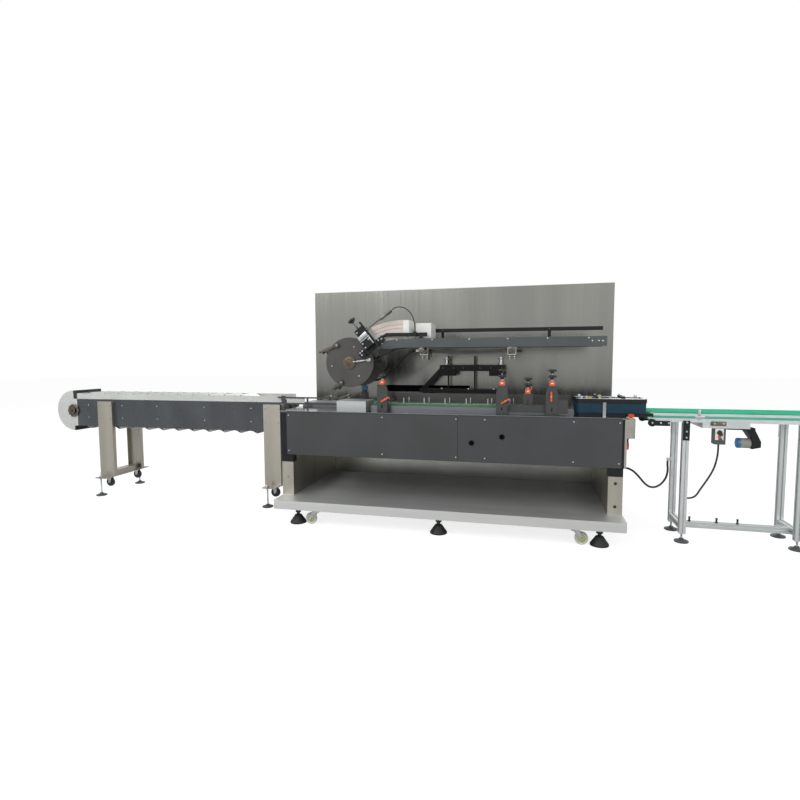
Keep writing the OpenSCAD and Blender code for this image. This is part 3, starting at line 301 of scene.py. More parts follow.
def pair(piece: Surface, out: float) -> Surface:
    """A fitting to the front and the same to the back, each by a distance out from the origin."""
    return piece.facing(Facing.FRONT).moved((0, -out, 0)) + piece.facing(Facing.BACK).moved((0, out, 0))


def both_sides(front: float, rear: float) -> tuple[tuple[str, Facing, float], ...]:
    """Name, direction and depth of a piece's front and of its rear."""
    return ("front", Facing.FRONT, front), ("rear", Facing.BACK, rear)


def spline(points: Sequence[Sequence[float]], parts: int = 3) -> np.ndarray:
    """A smooth line through points: on each span a cubic whose end slopes follow the neighbours."""
    p = np.asarray(points, float)
    p = np.concatenate([[2 * p[0] - p[1]], p, [2 * p[-1] - p[-2]]])
    a, b, c, d = p[:-3, None], p[1:-2, None], p[2:-1, None], p[3:, None]
    t = np.linspace(0, 1, parts, endpoint=False)[None, :, None]
    line = b + 0.5 * t * (c - a + t * (2 * a - 5 * b + 4 * c - d + t * (3 * b - a - 3 * c + d)))
    return np.concatenate([line.reshape(-1, 3), p[-2:-1]])


def hexagon(t: np.ndarray) -> np.ndarray:
    """Radius of a hexagon by angle, one at its corners."""
    return math.cos(math.pi / 6) / np.cos(t % (math.pi / 3) - math.pi / 6)


def lobes(count: int, depth: float) -> Outline:
    """Radius of a rounded star by angle: a cosine that falls by a depth between its points."""
    return lambda t: 1 - depth * (0.5 - 0.5 * np.cos(count * t))


# Finishes

# Parts of a noise's range over which the tone drifts and the roughness changes
TONE_RANGE = (0.32, 0.68)
ROUGH_RANGE = (0.3, 0.7)
# Two printed lines on the blanks: places and half a line's width as shares of the height, and the colour
LINE_AT = (0.57, 0.77)
LINE_HALF = 0.016
LINE_COLOUR = "#d6aaa1"


class Grain(Enum):
    """How a surface was made, which sets its fine pattern."""

    BRUSHED = "belt-ground, with long scratches"
    COATED = "baked powder, with a soft orange peel"
    MOULDED = "moulded or cast, with a fine even tooth"
    WOVEN = "a belt with a fabric face"
    BOARD = "pressed fibre board"
    PRINTED = "pressed fibre board with two printed lines"


@dataclass(frozen=True)
class Finish:
    """A real material and its surface.

    Attributes:
        name: The material's common name.
        slot: The record's material slot; not used.
        colour: Main colour.
        shade: Tone that the colour drifts to.
        grain: How the surface was made.
        grain_mm: Size of the fine pattern.
        rough: Lowest and highest roughness over the pattern.
        metallic: One for bare metal.
        relief_mm: Height of the fine pattern.
        drift_mm: Size of the tone's patches.
        stretch: Share of the pattern's frequency that is left along X, Y and Z.
        coat: Strength of a clear gloss on top.
        shine: Level of the plain mirror reflection, one half for most plastics and paints.
    """

    name: str
    slot: str
    colour: str
    shade: str
    grain: Grain
    grain_mm: float
    rough: tuple[float, float]
    metallic: float = 0.0
    relief_mm: float = 0.0
    drift_mm: float = 220.0
    stretch: tuple[float, float, float] = (1.0, 1.0, 1.0)
    coat: float = 0.0
    shine: float = 0.5

    def material(self) -> bpy.types.Material:
        """Builds the material's nodes once.

        Returns:
            The material, made at its first use.
        """
        known = bpy.data.materials.get(self.name)
        if known is not None:
            return known
        made = bpy.data.materials.new(self.name)
        made.use_nodes = True
        tree = made.node_tree
        shader = tree.nodes["Principled BSDF"]
        shader.inputs["Metallic"].default_value = self.metallic
        shader.inputs["Coat Weight"].default_value = self.coat
        shader.inputs["Specular IOR Level"].default_value = self.shine
        place = add(tree, "ShaderNodeTexCoord").outputs["Object"]
        along = add(tree, "ShaderNodeMapping", {"Vector": place, "Scale": self.stretch}).outputs[0]
        fine = self.pattern(tree, along)
        patch = add(tree, "ShaderNodeTexNoise",
                    {"Vector": along, "Scale": 1000 / self.drift_mm, "Detail": 4.0})
        share = add(tree, "ShaderNodeMapRange",
                    {0: patch.outputs[0], 1: TONE_RANGE[0], 2: TONE_RANGE[1]}).outputs[0]
        tone = add(tree, "ShaderNodeMix", {0: share, 6: linear(self.colour), 7: linear(self.shade)},
                   data_type="RGBA").outputs[2]
        if self.grain is Grain.PRINTED:
            tone = self.printed(tree, tone)
        tree.links.new(tone, shader.inputs["Base Color"])
        span = dict(enumerate((fine, *ROUGH_RANGE, *self.rough)))
        rough = add(tree, "ShaderNodeMapRange", span)
        tree.links.new(rough.outputs[0], shader.inputs["Roughness"])
        if self.relief_mm:
            bump = add(tree, "ShaderNodeBump",
                       {"Strength": 1.0, "Distance": self.relief_mm * MM, "Height": fine})
            tree.links.new(bump.outputs[0], shader.inputs["Normal"])
        return made

    def pattern(self, tree: bpy.types.NodeTree, along: bpy.types.NodeSocket) -> bpy.types.NodeSocket:
        """Adds the fine pattern.

        Args:
            tree: The material's nodes.
            along: Coordinates, already stretched.

        Returns:
            The socket that carries the pattern's height.
        """
        if self.grain is Grain.WOVEN:
            # One sine wave along the belt and one across it; a wave node repeats every 0.314 over its scale
            scale = 314 / self.grain_mm
            warp = add(tree, "ShaderNodeTexWave", {"Vector": along, "Scale": scale}, bands_direction="X")
            weft = add(tree, "ShaderNodeTexWave", {"Vector": along, "Scale": scale}, bands_direction="Y")
            cloth = add(tree, "ShaderNodeMath", {0: warp.outputs[1], 1: weft.outputs[1]}, operation="MAXIMUM")
            return cloth.outputs[0]
        detail = 1.0 if self.grain is Grain.COATED else 4.0
        noise = add(tree, "ShaderNodeTexNoise",
                    {"Vector": along, "Scale": 1000 / self.grain_mm, "Detail": detail})
        return noise.outputs[0]

    def printed(self, tree: bpy.types.NodeTree, tone: bpy.types.NodeSocket) -> bpy.types.NodeSocket:
        """Lays two thin lines over the board's tone at fixed shares of a blank's height.

        Args:
            tree: The material's nodes.
            tone: The board's own colour.

        Returns:
            The socket that carries the printed colour.
        """
        height = add(tree, "ShaderNodeAttribute", attribute_name="height").outputs["Fac"]
        for share in LINE_AT:
            band = add(tree, "ShaderNodeMath", {0: height, 1: share, 2: LINE_HALF},
                       operation="COMPARE").outputs[0]
            tone = add(tree, "ShaderNodeMix", {0: band, 6: tone, 7: linear(LINE_COLOUR)},
                       data_type="RGBA").outputs[2]
        return tone


@dataclass(frozen=True)
class Metal(Finish):
    """A finish of bare metal."""

    metallic: float = 1.0


# Sheet steel, ground along its height: broad soft upright streaks over a silky mirror of the machine. The
# real scratches are 0.1 mm apart and are drawn 14 mm apart to show.
CABINET_STEEL = Metal("brushed stainless steel sheet", "stainless", "#92938d", "#82837e", Grain.BRUSHED, 14.0,
                      (0.17, 0.24), drift_mm=340.0, stretch=(1.0, 1.0, 0.02))
# The same sheet with a warmer mill finish on folded legs and posts, duller and more even.
FRAME_STEEL = Metal("mill-finished stainless steel", "stainless", "#b3afa4", "#a29e95", Grain.BRUSHED, 6.0,
                    (0.34, 0.48), relief_mm=0.015, drift_mm=140.0, stretch=(1.0, 1.0, 0.05))
# Bright sheet of the tray: worn to a wide, pale sheen where the light falls, with faint lengthwise grinding.
TRAY_STEEL = Metal("worn stainless tray sheet", "stainless", "#d6d8d7", "#c6c7c5", Grain.BRUSHED, 8.0,
                   (0.5, 0.64), relief_mm=0.01, drift_mm=260.0, stretch=(0.03, 1.0, 1.0))
# Ground table plate: bluish, clear reflection of what stands on it.
TABLE_STEEL = Metal("ground steel table plate", "stainless", "#9aa0a4", "#878d92", Grain.BRUSHED, 6.0,
                    (0.12, 0.24), drift_mm=200.0, stretch=(0.04, 1.0, 1.0))
# Folded sheet of the flights: pale and silky.
FLIGHT_STEEL = Metal("satin stainless flights", "stainless", "#c3c5c3", "#acafad", Grain.BRUSHED, 5.0,
                     (0.25, 0.4), drift_mm=120.0, stretch=(1.0, 0.05, 1.0))
# Zinc-plated bolts and brackets: bright, slightly blue.
ZINC = Metal("zinc-plated steel", "polished_steel", "#c9cccf", "#b2b6ba", Grain.MOULDED, 3.0, (0.18, 0.34),
             drift_mm=40.0)
# Hard-chromed rods: the brightest metal on the machine.
CHROME = Metal("hard-chromed rod steel", "polished_steel", "#d9dbdc", "#c6c9cb", Grain.BRUSHED, 4.0,
               (0.08, 0.18), drift_mm=90.0, stretch=(1.0, 0.05, 1.0))
# Extruded profile, clear anodised: pale and even with a dull sheen.
ANODISED = Metal("clear anodised aluminium", "aluminium", "#d8dbdb", "#c8cccc", Grain.BRUSHED, 4.0,
                 (0.3, 0.44), drift_mm=150.0, stretch=(0.06, 1.0, 0.06))
# Hub turned from bronze: warm, dull gold.
BRONZE = Metal("turned bronze", "brass", "#726957", "#5a5345", Grain.MOULDED, 3.0, (0.28, 0.42),
               relief_mm=0.01, drift_mm=25.0)
# Oil-blackened machine parts: dark, half bright, slightly warm.
OILED_STEEL = Metal("oil-blackened steel", "dark_grey_paint", "#6b675f", "#57544d", Grain.MOULDED, 3.0,
                    (0.3, 0.44), relief_mm=0.01, drift_mm=40.0)
# Phosphated clamp blocks: dull khaki grey.
CLAMP_STEEL = Metal("phosphated steel", "polished_steel", "#767064", "#625d53", Grain.MOULDED, 3.0,
                    (0.32, 0.46), relief_mm=0.01, drift_mm=30.0)
# Hard-anodised rails of the deck: mid grey with a dull sheen.
DECK_METAL = Metal("grey hard-anodised rail", "aluminium", "#7d8082", "#6d7173", Grain.BRUSHED, 5.0,
                   (0.3, 0.42), drift_mm=120.0, stretch=(0.05, 1.0, 1.0))
# Painted shade: near-black navy set deep in the pusher slot and the access holes, and on a strip left of the
# slot, standing for the shade in these recesses.
SLOT_SHADE_BLACK = Finish("painted shade navy", "black_paint", "#0c1018", "#090c12", Grain.MOULDED, 2.0, (0.7, 0.85),
                   relief_mm=0.05, drift_mm=60.0, shine=0.05)
# Baked powder on the covers: dark, satin, with a fine peel that softens every reflection. The peel is drawn
# at 6 mm instead of 1 mm to show.
COVER_PAINT = Finish("dark grey powder coat", "dark_grey_paint", "#3c3f41", "#363939", Grain.COATED, 6.0,
                     (0.34, 0.46), relief_mm=0.05, drift_mm=320.0)
# Thin painted plates that are slightly buckled, so reflections wave along them.
SLATE_PAINT = Finish("slate grey powder coat", "slate_paint", "#474b4f", "#3b3f43", Grain.COATED, 95.0,
                     (0.24, 0.34), relief_mm=1.4, drift_mm=240.0, stretch=(1.0, 1.0, 0.55))
# Mid grey paint on the magazine's beams.
BEAM_PAINT = Finish("mid grey powder coat", "dark_grey_paint", "#4a4e4f", "#414546", Grain.COATED, 5.0,
                    (0.36, 0.5), relief_mm=0.04, drift_mm=160.0)
# Blackened or black-painted steel: soft, with faint dusty patches.
BLACK_PAINT = Finish("black powder coat", "black_paint", "#1b1d1f", "#141617", Grain.COATED, 4.0, (0.4, 0.55),
                     relief_mm=0.04, drift_mm=120.0, shine=0.25)
# Pale machine paint on small boxes.
PALE_PAINT = Finish("light grey enamel", "light_grey_paint", "#a3a39b", "#95958e", Grain.COATED, 4.0,
                    (0.3, 0.42), relief_mm=0.03, drift_mm=90.0, coat=0.1)
# Cover box of ground sheet on the table.
BOX_STEEL = Metal("ground cover sheet", "stainless", "#b9bdbd", "#a8abaa", Grain.BRUSHED, 5.0, (0.52, 0.64),
                  drift_mm=90.0, stretch=(0.05, 1.0, 1.0))
# Hard-anodised plates of the drum and arms: matt, warm dark grey.
HARD_COAT = Finish("hard anodised aluminium", "dark_grey_paint", "#464543", "#3c3b39", Grain.MOULDED, 2.5,
                   (0.46, 0.6), relief_mm=0.02, drift_mm=110.0)
POST_COAT = Finish("dark hard anodised aluminium", "dark_grey_paint", "#3b3e3d", "#333635", Grain.MOULDED,
                   2.5, (0.46, 0.6), relief_mm=0.02, drift_mm=90.0)
# Moulded plastics: even colour, fine tooth, soft highlight.
BLACK_PLASTIC = Finish("black glass-filled nylon", "black_plastic", "#1e1f21", "#151617", Grain.MOULDED, 1.5,
                       (0.38, 0.5), relief_mm=0.03, drift_mm=60.0)
ORANGE = Finish("orange moulded nylon", "orange_plastic", "#e35f2c", "#d25222", Grain.MOULDED, 1.5,
                (0.3, 0.42), relief_mm=0.02, drift_mm=40.0)
RED = Finish("red moulded polycarbonate", "red_plastic", "#dd4f3e", "#c84233", Grain.MOULDED, 1.5,
             (0.22, 0.34), relief_mm=0.01, drift_mm=40.0)
BLUE = Finish("blue moulded polycarbonate", "blue_plastic", "#3f7fb8", "#356fa5", Grain.MOULDED, 1.5,
              (0.3, 0.4), relief_mm=0.01, drift_mm=50.0)
YELLOW = Finish("yellow moulded ring", "orange_plastic", "#e0c23c", "#cfae2c", Grain.MOULDED, 1.5,
                (0.3, 0.42), relief_mm=0.01, drift_mm=40.0)
# Acetal sheet and covers: milky white, slightly waxy.
WHITE = Finish("white acetal sheet", "white_plastic", "#e9e9e4", "#dcdcd6", Grain.MOULDED, 3.0, (0.34, 0.46),
               relief_mm=0.01, drift_mm=200.0, coat=0.05)
# Frosted cover sheet on the infeed: greyer than acetal, with a soft shine.
FROSTED = Finish("frosted polycarbonate", "white_plastic", "#cbcdca", "#bfc1be", Grain.MOULDED, 3.0,
                 (0.34, 0.46), relief_mm=0.01, drift_mm=200.0, coat=0.05)
# Slide strips of dense polyethylene: green, waxy.
STRIP_GREEN = Finish("green polyethylene strip", "green_plastic", "#4f7a57", "#436b4c", Grain.MOULDED, 3.0,
                     (0.4, 0.55), relief_mm=0.01, drift_mm=70.0)
# Cast polyurethane tyres and their hub rings.
TYRE = Finish("cast polyurethane", "wheel_plastic", "#dfe0d6", "#cfd0c4", Grain.MOULDED, 2.0, (0.4, 0.52),
              relief_mm=0.02, drift_mm=40.0)
RING_GREEN = Finish("yellow-green moulded ring", "wheel_plastic", "#c3cf6c", "#b2be5c", Grain.MOULDED, 2.0,
                    (0.36, 0.48), relief_mm=0.02, drift_mm=30.0)
# Belts: a smooth rolled face with its fabric just showing through.
# The threads, 0.8 mm apart, are drawn at 3 mm.
BELT_GREEN = Finish("green PVC conveyor belt", "green_belt", "#12ca98", "#0cba8a", Grain.WOVEN, 3.0,
                    (0.5, 0.64), relief_mm=0.05, drift_mm=240.0, shine=0.06)
BELT_MAGAZINE = Finish("green polyurethane belt", "green_belt", "#5f9a7c", "#548c70", Grain.WOVEN, 3.0,
                       (0.36, 0.5), relief_mm=0.05, drift_mm=120.0)
BELT_BLUE = Finish("dark blue rubber belt", "blue_belt", "#1b3a4b", "#15303f", Grain.WOVEN, 3.0, (0.46, 0.6),
                   relief_mm=0.05, drift_mm=120.0, shine=0.2)
BELT_RETURN = Finish("green belt underside", "green_belt", "#4fae95", "#459f88", Grain.WOVEN, 3.0,
                     (0.4, 0.55), relief_mm=0.05, drift_mm=200.0)
# Links of the cable chain: black nylon drawn mid grey, a painted sheen that stands in for their glints.
LINK_SHEEN_NYLON = Finish("black nylon with painted sheen", "black_plastic", "#636564", "#505251", Grain.MOULDED, 1.5,
                    (0.4, 0.54), relief_mm=0.03, drift_mm=60.0)
# Moulded pads of the levelling feet: mid grey, dull.
PAD_NYLON = Finish("grey moulded nylon", "black_rubber", "#55595c", "#474b4e", Grain.MOULDED, 2.0,
                   (0.42, 0.56), relief_mm=0.02, drift_mm=50.0)
# Rubber of cups, pads and cable sheaths: nearly black, dull, with a bloom.
RUBBER = Finish("black moulded rubber", "black_rubber", "#222325", "#18191a", Grain.MOULDED, 2.0, (0.5, 0.66),
                relief_mm=0.03, drift_mm=50.0)
# Pressed board of the folded blanks: cream edges with two thin lines, and bleached ends.
BOARD_CREAM = Finish("folding box board", "cardboard", "#f5ede5", "#e9ded4", Grain.PRINTED, 2.0, (0.6, 0.75),
                     relief_mm=0.03, drift_mm=60.0)
BOARD_WHITE = Finish("bleached box board", "cardboard", "#fefefc", "#f4f4f1", Grain.BOARD, 2.0, (0.6, 0.75),
                     relief_mm=0.03, drift_mm=60.0)


def dress(finish: Finish, *nodes: str) -> None:
    """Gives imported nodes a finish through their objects' material slots."""
    for name in nodes:
        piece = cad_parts[name]
        if not piece.material_slots:
            piece.data.materials.append(finish.material())
        for place in piece.material_slots:
            place.material = finish.material()
        LOG.info("%s: %s", name, finish.name)


def make(name: str, surface: Surface, finish: Finish, body: str = "machine", replaces: Sequence[str] = (),
         sharp: float = 38.0, height: np.ndarray | None = None) -> bpy.types.Object:
    """Puts a surface into a mesh that rides on a body.

    Args:
        name: The piece's name.
        surface: Its points and faces in millimetres.
        finish: Its material.
        body: The body that it moves with.
        replaces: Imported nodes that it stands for.
        sharp: Angle in degrees above which an edge stays crisp.
        height: One number for each point, kept for the material, or none.

    Returns:
        The new object, at the origin.
    """
    mesh = bpy.data.meshes.new(name)
    mesh.from_pydata((surface.points * MM).tolist(), [],
                     [f for block in surface.faces for f in block.tolist()])
    if height is not None:
        mesh.attributes.new("height", "FLOAT", "POINT").data.foreach_set("value", height.astype(np.float32))
    tidy = bmesh.new()
    tidy.from_mesh(mesh)
    if height is None:
        bmesh.ops.remove_doubles(tidy, verts=tidy.verts, dist=1e-6)
    bmesh.ops.recalc_face_normals(tidy, faces=tidy.faces)
    tidy.to_mesh(mesh)
    tidy.free()
    mesh.shade_smooth()
    mesh.set_sharp_from_angle(angle=math.radians(sharp))
    mesh.materials.append(finish.material())
    piece = bpy.data.objects.new(name, mesh)
    bpy.context.scene.collection.objects.link(piece)
    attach(piece, body)
    if replaces:
        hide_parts(*replaces)
    LOG.info("%s: %d faces, %s, on %s", name, len(mesh.polygons), finish.name, body)
    return piece


# Fasteners and small fittings, each drawn once about +Z and then copied

# How far a fitting reaches into what carries it, so that no gap shows under it
SUNK = 0.5


def cap_screw(d: float = 12.0) -> Surface:
    """A socket-head screw: a turned head whose last rows take a hexagon for the socket."""
    r, h = d / 2, 0.62 * d
    rows = [(r, -SUNK), (r, h - 0.1 * r), (0.88 * r, h), (0.55 * r, h, 1), (0.55 * r, 0.45 * h, 1)]
    return lathe(rows, hexagon, 24)


def button_screw(d: float = 14.0) -> Surface:
    """A low domed screw: the head's height falls with the radius as on a ball, over a hexagon socket."""
    r, h = d / 2, 0.32 * d
    rows = [(r, -SUNK), (r, 0.25 * h), (0.8 * r, 0.75 * h), (0.5 * r, h), (0.38 * r, h, 1),
            (0.38 * r, 0.4 * h, 1)]
    return lathe(rows, hexagon, 24)


def hex_bolt(d: float = 16.0) -> Surface:
    """A hexagon head on a washer: the washer's rows are round and the head's rows take the hexagon."""
    r = d / 2
    rows = [(1.35 * r, -SUNK), (1.35 * r, 1.4), (r, 1.6, 1), (r, 0.62 * d, 1), (0.86 * r, 0.7 * d),
            (1.0, 0.7 * d)]
    return lathe(rows, hexagon, 36)


def washer_ring(inner: float, outer: float, height: float, edge: float = 0.6) -> Surface:
    """A flat ring with a bore: a rectangle with chamfered outer corners turned about the axis."""
    return lathe([(inner, 0), (outer - edge, 0), (outer, edge), (outer, height - edge),
                  (outer - edge, height), (inner, height)], None, 36, ring=True)


def ball(r: float, z: float = 0.0, steps: int = 9) -> Surface:
    """A ball: rows of cosine radius at sine height."""
    a = np.linspace(-0.48 * math.pi, 0.48 * math.pi, steps)
    return lathe(np.stack([r * np.cos(a), z + r * np.sin(a)], axis=-1).tolist(), None, 24)


def star_grip(d: float, height: float, count: int = 5) -> Surface:
    """A star-shaped hand grip: round hub rows below, lobed rows above and a domed top."""
    r = d / 2
    rows = [(0.4 * r, -12.0), (0.42 * r, -1.0), (0.62 * r, 0.0, 0.6), (0.93 * r, 0.8, 1), (r, 3.0, 1),
            (r, height - 4.0, 1), (0.92 * r, height - 1.2, 1), (0.6 * r, height, 0.5),
            (0.3 * r, height + 0.8)]
    return lathe(rows, lobes(count, 0.27), 60)


# Stage: camera, light, floor


@dataclass
class Studio:
    """Camera, lamps, world and floor; lengths in metres and angles in degrees."""

    eye: tuple[float, float, float] = (1.1814, -4.1832, 1.2299)
    yaw: float = 13.8136
    pitch: float = 4.5385
    roll: float = -0.2269
    lens: float = 23.42
    floor_side: float = 60.0
    floor_glow: float = 0.5
    floor_light: float = 1.6
    sky: float = 0.4

    def build(self) -> None:
        """Makes the camera, the world, the lamps and the floor."""
        scene = bpy.context.scene
        scene.view_settings.view_transform = "Standard"
        self.camera()
        self.world()
        self.lamp("key", place=(-3.2, -6.0, 5.2), target=(0.2, 0.0, 0.7), size=(6.0, 4.0), watts=300.0)
        self.lamp("fill", place=(5.2, -5.2, 3.6), target=(0.4, 0.0, 0.7), size=(4.0, 3.0), watts=105.0)
        self.lamp("back", place=(0.0, 6.0, 4.5), target=(0.0, 0.0, 0.8), size=(6.0, 3.0), watts=130.0)
        self.floor()

    def camera(self) -> None:
        """Stands the camera where the photograph was taken from."""
        data = bpy.data.cameras.new("camera")
        data.lens = self.lens
        data.sensor_width = 36.0
        data.clip_end = 200.0
        eye = bpy.data.objects.new("camera", data)
        stand = Matrix.Translation(self.eye)
        for angle, axis in ((self.yaw, "Z"), (90 - self.pitch, "X"), (self.roll, "Z")):
            stand = stand @ Matrix.Rotation(math.radians(angle), 4, axis)
        eye.matrix_world = stand
        bpy.context.scene.collection.objects.link(eye)
        bpy.context.scene.camera = eye

    def seen(self, tree: bpy.types.NodeTree) -> bpy.types.NodeSocket:
        """One where a ray comes from the camera, a mirror or glass, and nothing else."""
        path = add(tree, "ShaderNodeLightPath").outputs
        ray = path["Is Camera Ray"]
        for kind in ("Is Glossy Ray", "Is Transmission Ray"):
            ray = add(tree, "ShaderNodeMath", {0: ray, 1: path[kind]}, operation="MAXIMUM").outputs[0]
        return ray

    def world(self) -> None:
        """A white surround to look at, and a plain grey level of light from it."""
        world = bpy.data.worlds.new("studio")
        bpy.context.scene.world = world
        world.use_nodes = True
        tree = world.node_tree
        tree.nodes.clear()
        light = add(tree, "ShaderNodeBackground", {"Color": linear("#ffffff"), "Strength": self.sky})
        white = add(tree, "ShaderNodeBackground", {"Color": linear("#ffffff"), "Strength": 1.0})
        both = add(tree, "ShaderNodeMixShader",
                   {0: self.seen(tree), 1: light.outputs[0], 2: white.outputs[0]})
        add(tree, "ShaderNodeOutputWorld", {0: both.outputs[0]})

    def lamp(self, name: str, place: tuple[float, float, float], target: tuple[float, float, float],
             size: tuple[float, float], watts: float) -> None:
        """Hangs one soft lamp.

        Args:
            name: The lamp's name.
            place: Where it hangs.
            target: What it looks at.
            size: Width and height of its face.
            watts: Its power.
        """
        data = bpy.data.lights.new(name, "AREA")
        data.shape = "RECTANGLE"
        data.size, data.size_y = size
        data.energy = watts
        lamp = bpy.data.objects.new(name, data)
        lamp.location = place
        lamp.rotation_euler = (Vector(target) - Vector(place)).to_track_quat("-Z", "Y").to_euler()
        bpy.context.scene.collection.objects.link(lamp)

    def floor(self) -> None:
        """A pale floor that glows white to the eye and keeps the object's shadow."""
        side = np.linspace(-self.floor_side / 2, self.floor_side / 2, 3)
        x, y = np.meshgrid(side, side, indexing="xy")
        mesh = bpy.data.meshes.new("floor")
        mesh.from_pydata(np.stack([x, y, 0 * x], axis=-1).reshape(-1, 3).tolist(), [],
                         grid_faces(3, 3, wrap=False).tolist())
        made = bpy.data.materials.new("matt white floor")
        made.use_nodes = True
        tree = made.node_tree
        tree.nodes.clear()
        paint = add(tree, "ShaderNodeBsdfDiffuse", {"Color": linear("#f2f2f2")})
        glow = add(tree, "ShaderNodeEmission", {"Color": linear("#ffffff"), "Strength": self.floor_light})
        view = add(tree, "ShaderNodeLightPath").outputs["Is Camera Ray"]
        part = add(tree, "ShaderNodeMath", {0: view, 1: self.floor_glow}, operation="MULTIPLY")
        both = add(tree, "ShaderNodeMixShader", {0: part.outputs[0], 1: paint.outputs[0], 2: glow.outputs[0]})
        add(tree, "ShaderNodeOutputMaterial", {0: both.outputs[0]})
        mesh.materials.append(made)
        floor = bpy.data.objects.new("floor", mesh)
        bpy.context.scene.collection.objects.link(floor)


# Cords


@dataclass(frozen=True)
class Cord:
    """A free hose or cable between two fittings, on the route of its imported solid."""

    name: str
    node: str
    diameter: float
    stiffness: str
    lay: str
    finish: Finish
    route: tuple[tuple[float, float, float], ...]

    def build(self) -> None:
        line = (spline(self.route) + START) * MM
        data = bpy.data.curves.new(self.name, "CURVE")
        data.dimensions = "3D"
        data.bevel_depth = self.diameter * MM / 2
        data.bevel_resolution = 4
        data.use_fill_caps = True
        strand = data.splines.new("POLY")
        strand.points.add(len(line) - 1)
        strand.points.foreach_set("co", np.concatenate([line, np.ones((len(line), 1))], axis=1).ravel())
        data.materials.append(self.finish.material())
        cord = bpy.data.objects.new(self.name, data)
        bpy.context.scene.collection.objects.link(cord)
        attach(cord, "machine")
        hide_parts(self.node)


CORDS = (
    Cord("suction_hose", "vacuum_hose", 18.0, "stiff", "hanging", RUBBER,
         ((-232, 230, 1288), (-262, 230, 1288), (-330, 262, 1240), (-400, 310, 1178), (-480, 375, 1116),
          (-550, 430, 1075), (-620, 455, 1057), (-672, 462, 1055), (-704, 462, 1047), (-712, 462, 1032),
          (-712, 462, 1012.3))),
    Cord("sensor_lead", "sensor_cable", 7.0, "medium", "loose", RUBBER,
         ((-377, 67, 1580.5), (-355, 67, 1596), (-322, 70, 1602), (-285, 74, 1594), (-252, 80, 1570),
          (-228, 86, 1535), (-216, 92, 1495), (-212, 94, 1460), (-212, 94, 1425.3))),
    Cord("link_lead", "link_cable", 14.0, "medium", "hanging", RUBBER,
         ((1220.3, 60, 500), (1246, 62, 496), (1282, 74, 474), (1318, 96, 436), (1352, 128, 396),
          (1392, 172, 360), (1436, 224, 342), (1482, 282, 342), (1522, 332, 360), (1550, 368, 392),
          (1562, 390, 432), (1562, 400, 470), (1562, 400, 497.7))),
    Cord("switch_lead", "switch_cable", 12.0, "medium", "hanging", RUBBER,
         ((1800, 150, 666.7), (1800, 150, 640), (1799, 150, 604), (1794, 150, 565), (1785, 149, 524),
          (1770, 148, 482), (1749, 147, 440), (1724, 146, 396), (1700, 144, 356), (1686, 143, 331),
          (1672, 142, 314), (1654, 141, 304), (1636, 140, 300), (1620.3, 140, 300))),
)


# Sub-assemblies


@dataclass
class BaseUnit:
    """The tray with its feet and casters."""

    ring: Row = (19, 28, 2.4)  # inner and outer radius, height
    web: float = 10.8
    axle_end: float = 25.5
    axle_nut: float = 17.0

    def build(self) -> None:
        """Dresses the tray, the feet and the casters."""
        dress(TRAY_STEEL, "base_tray")
        dress(RUBBER, "machine_feet")
        for i in range(1, 5):
            dress(ZINC, f"caster_fork_{i}")
            dress(TYRE, f"caster_wheel_{i}")
            self.caster(i)

    def caster(self, i: int) -> None:
        """Adds a wheel's coloured rings and its axle nuts.

        Args:
            i: Number of the caster.
        """
        low, high = box(f"caster_wheel_{i}")
        axle = (low + high) / 2
        rings = pair(washer_ring(*self.ring), self.web).moved(axle)
        make(f"wheel_rings_{i}", rings, RING_GREEN, f"caster_roller_{i}")
        nuts = pair(hex_bolt(self.axle_nut), self.axle_end).moved(axle)
        make(f"axle_nuts_{i}", nuts, ZINC, f"caster_{i}")


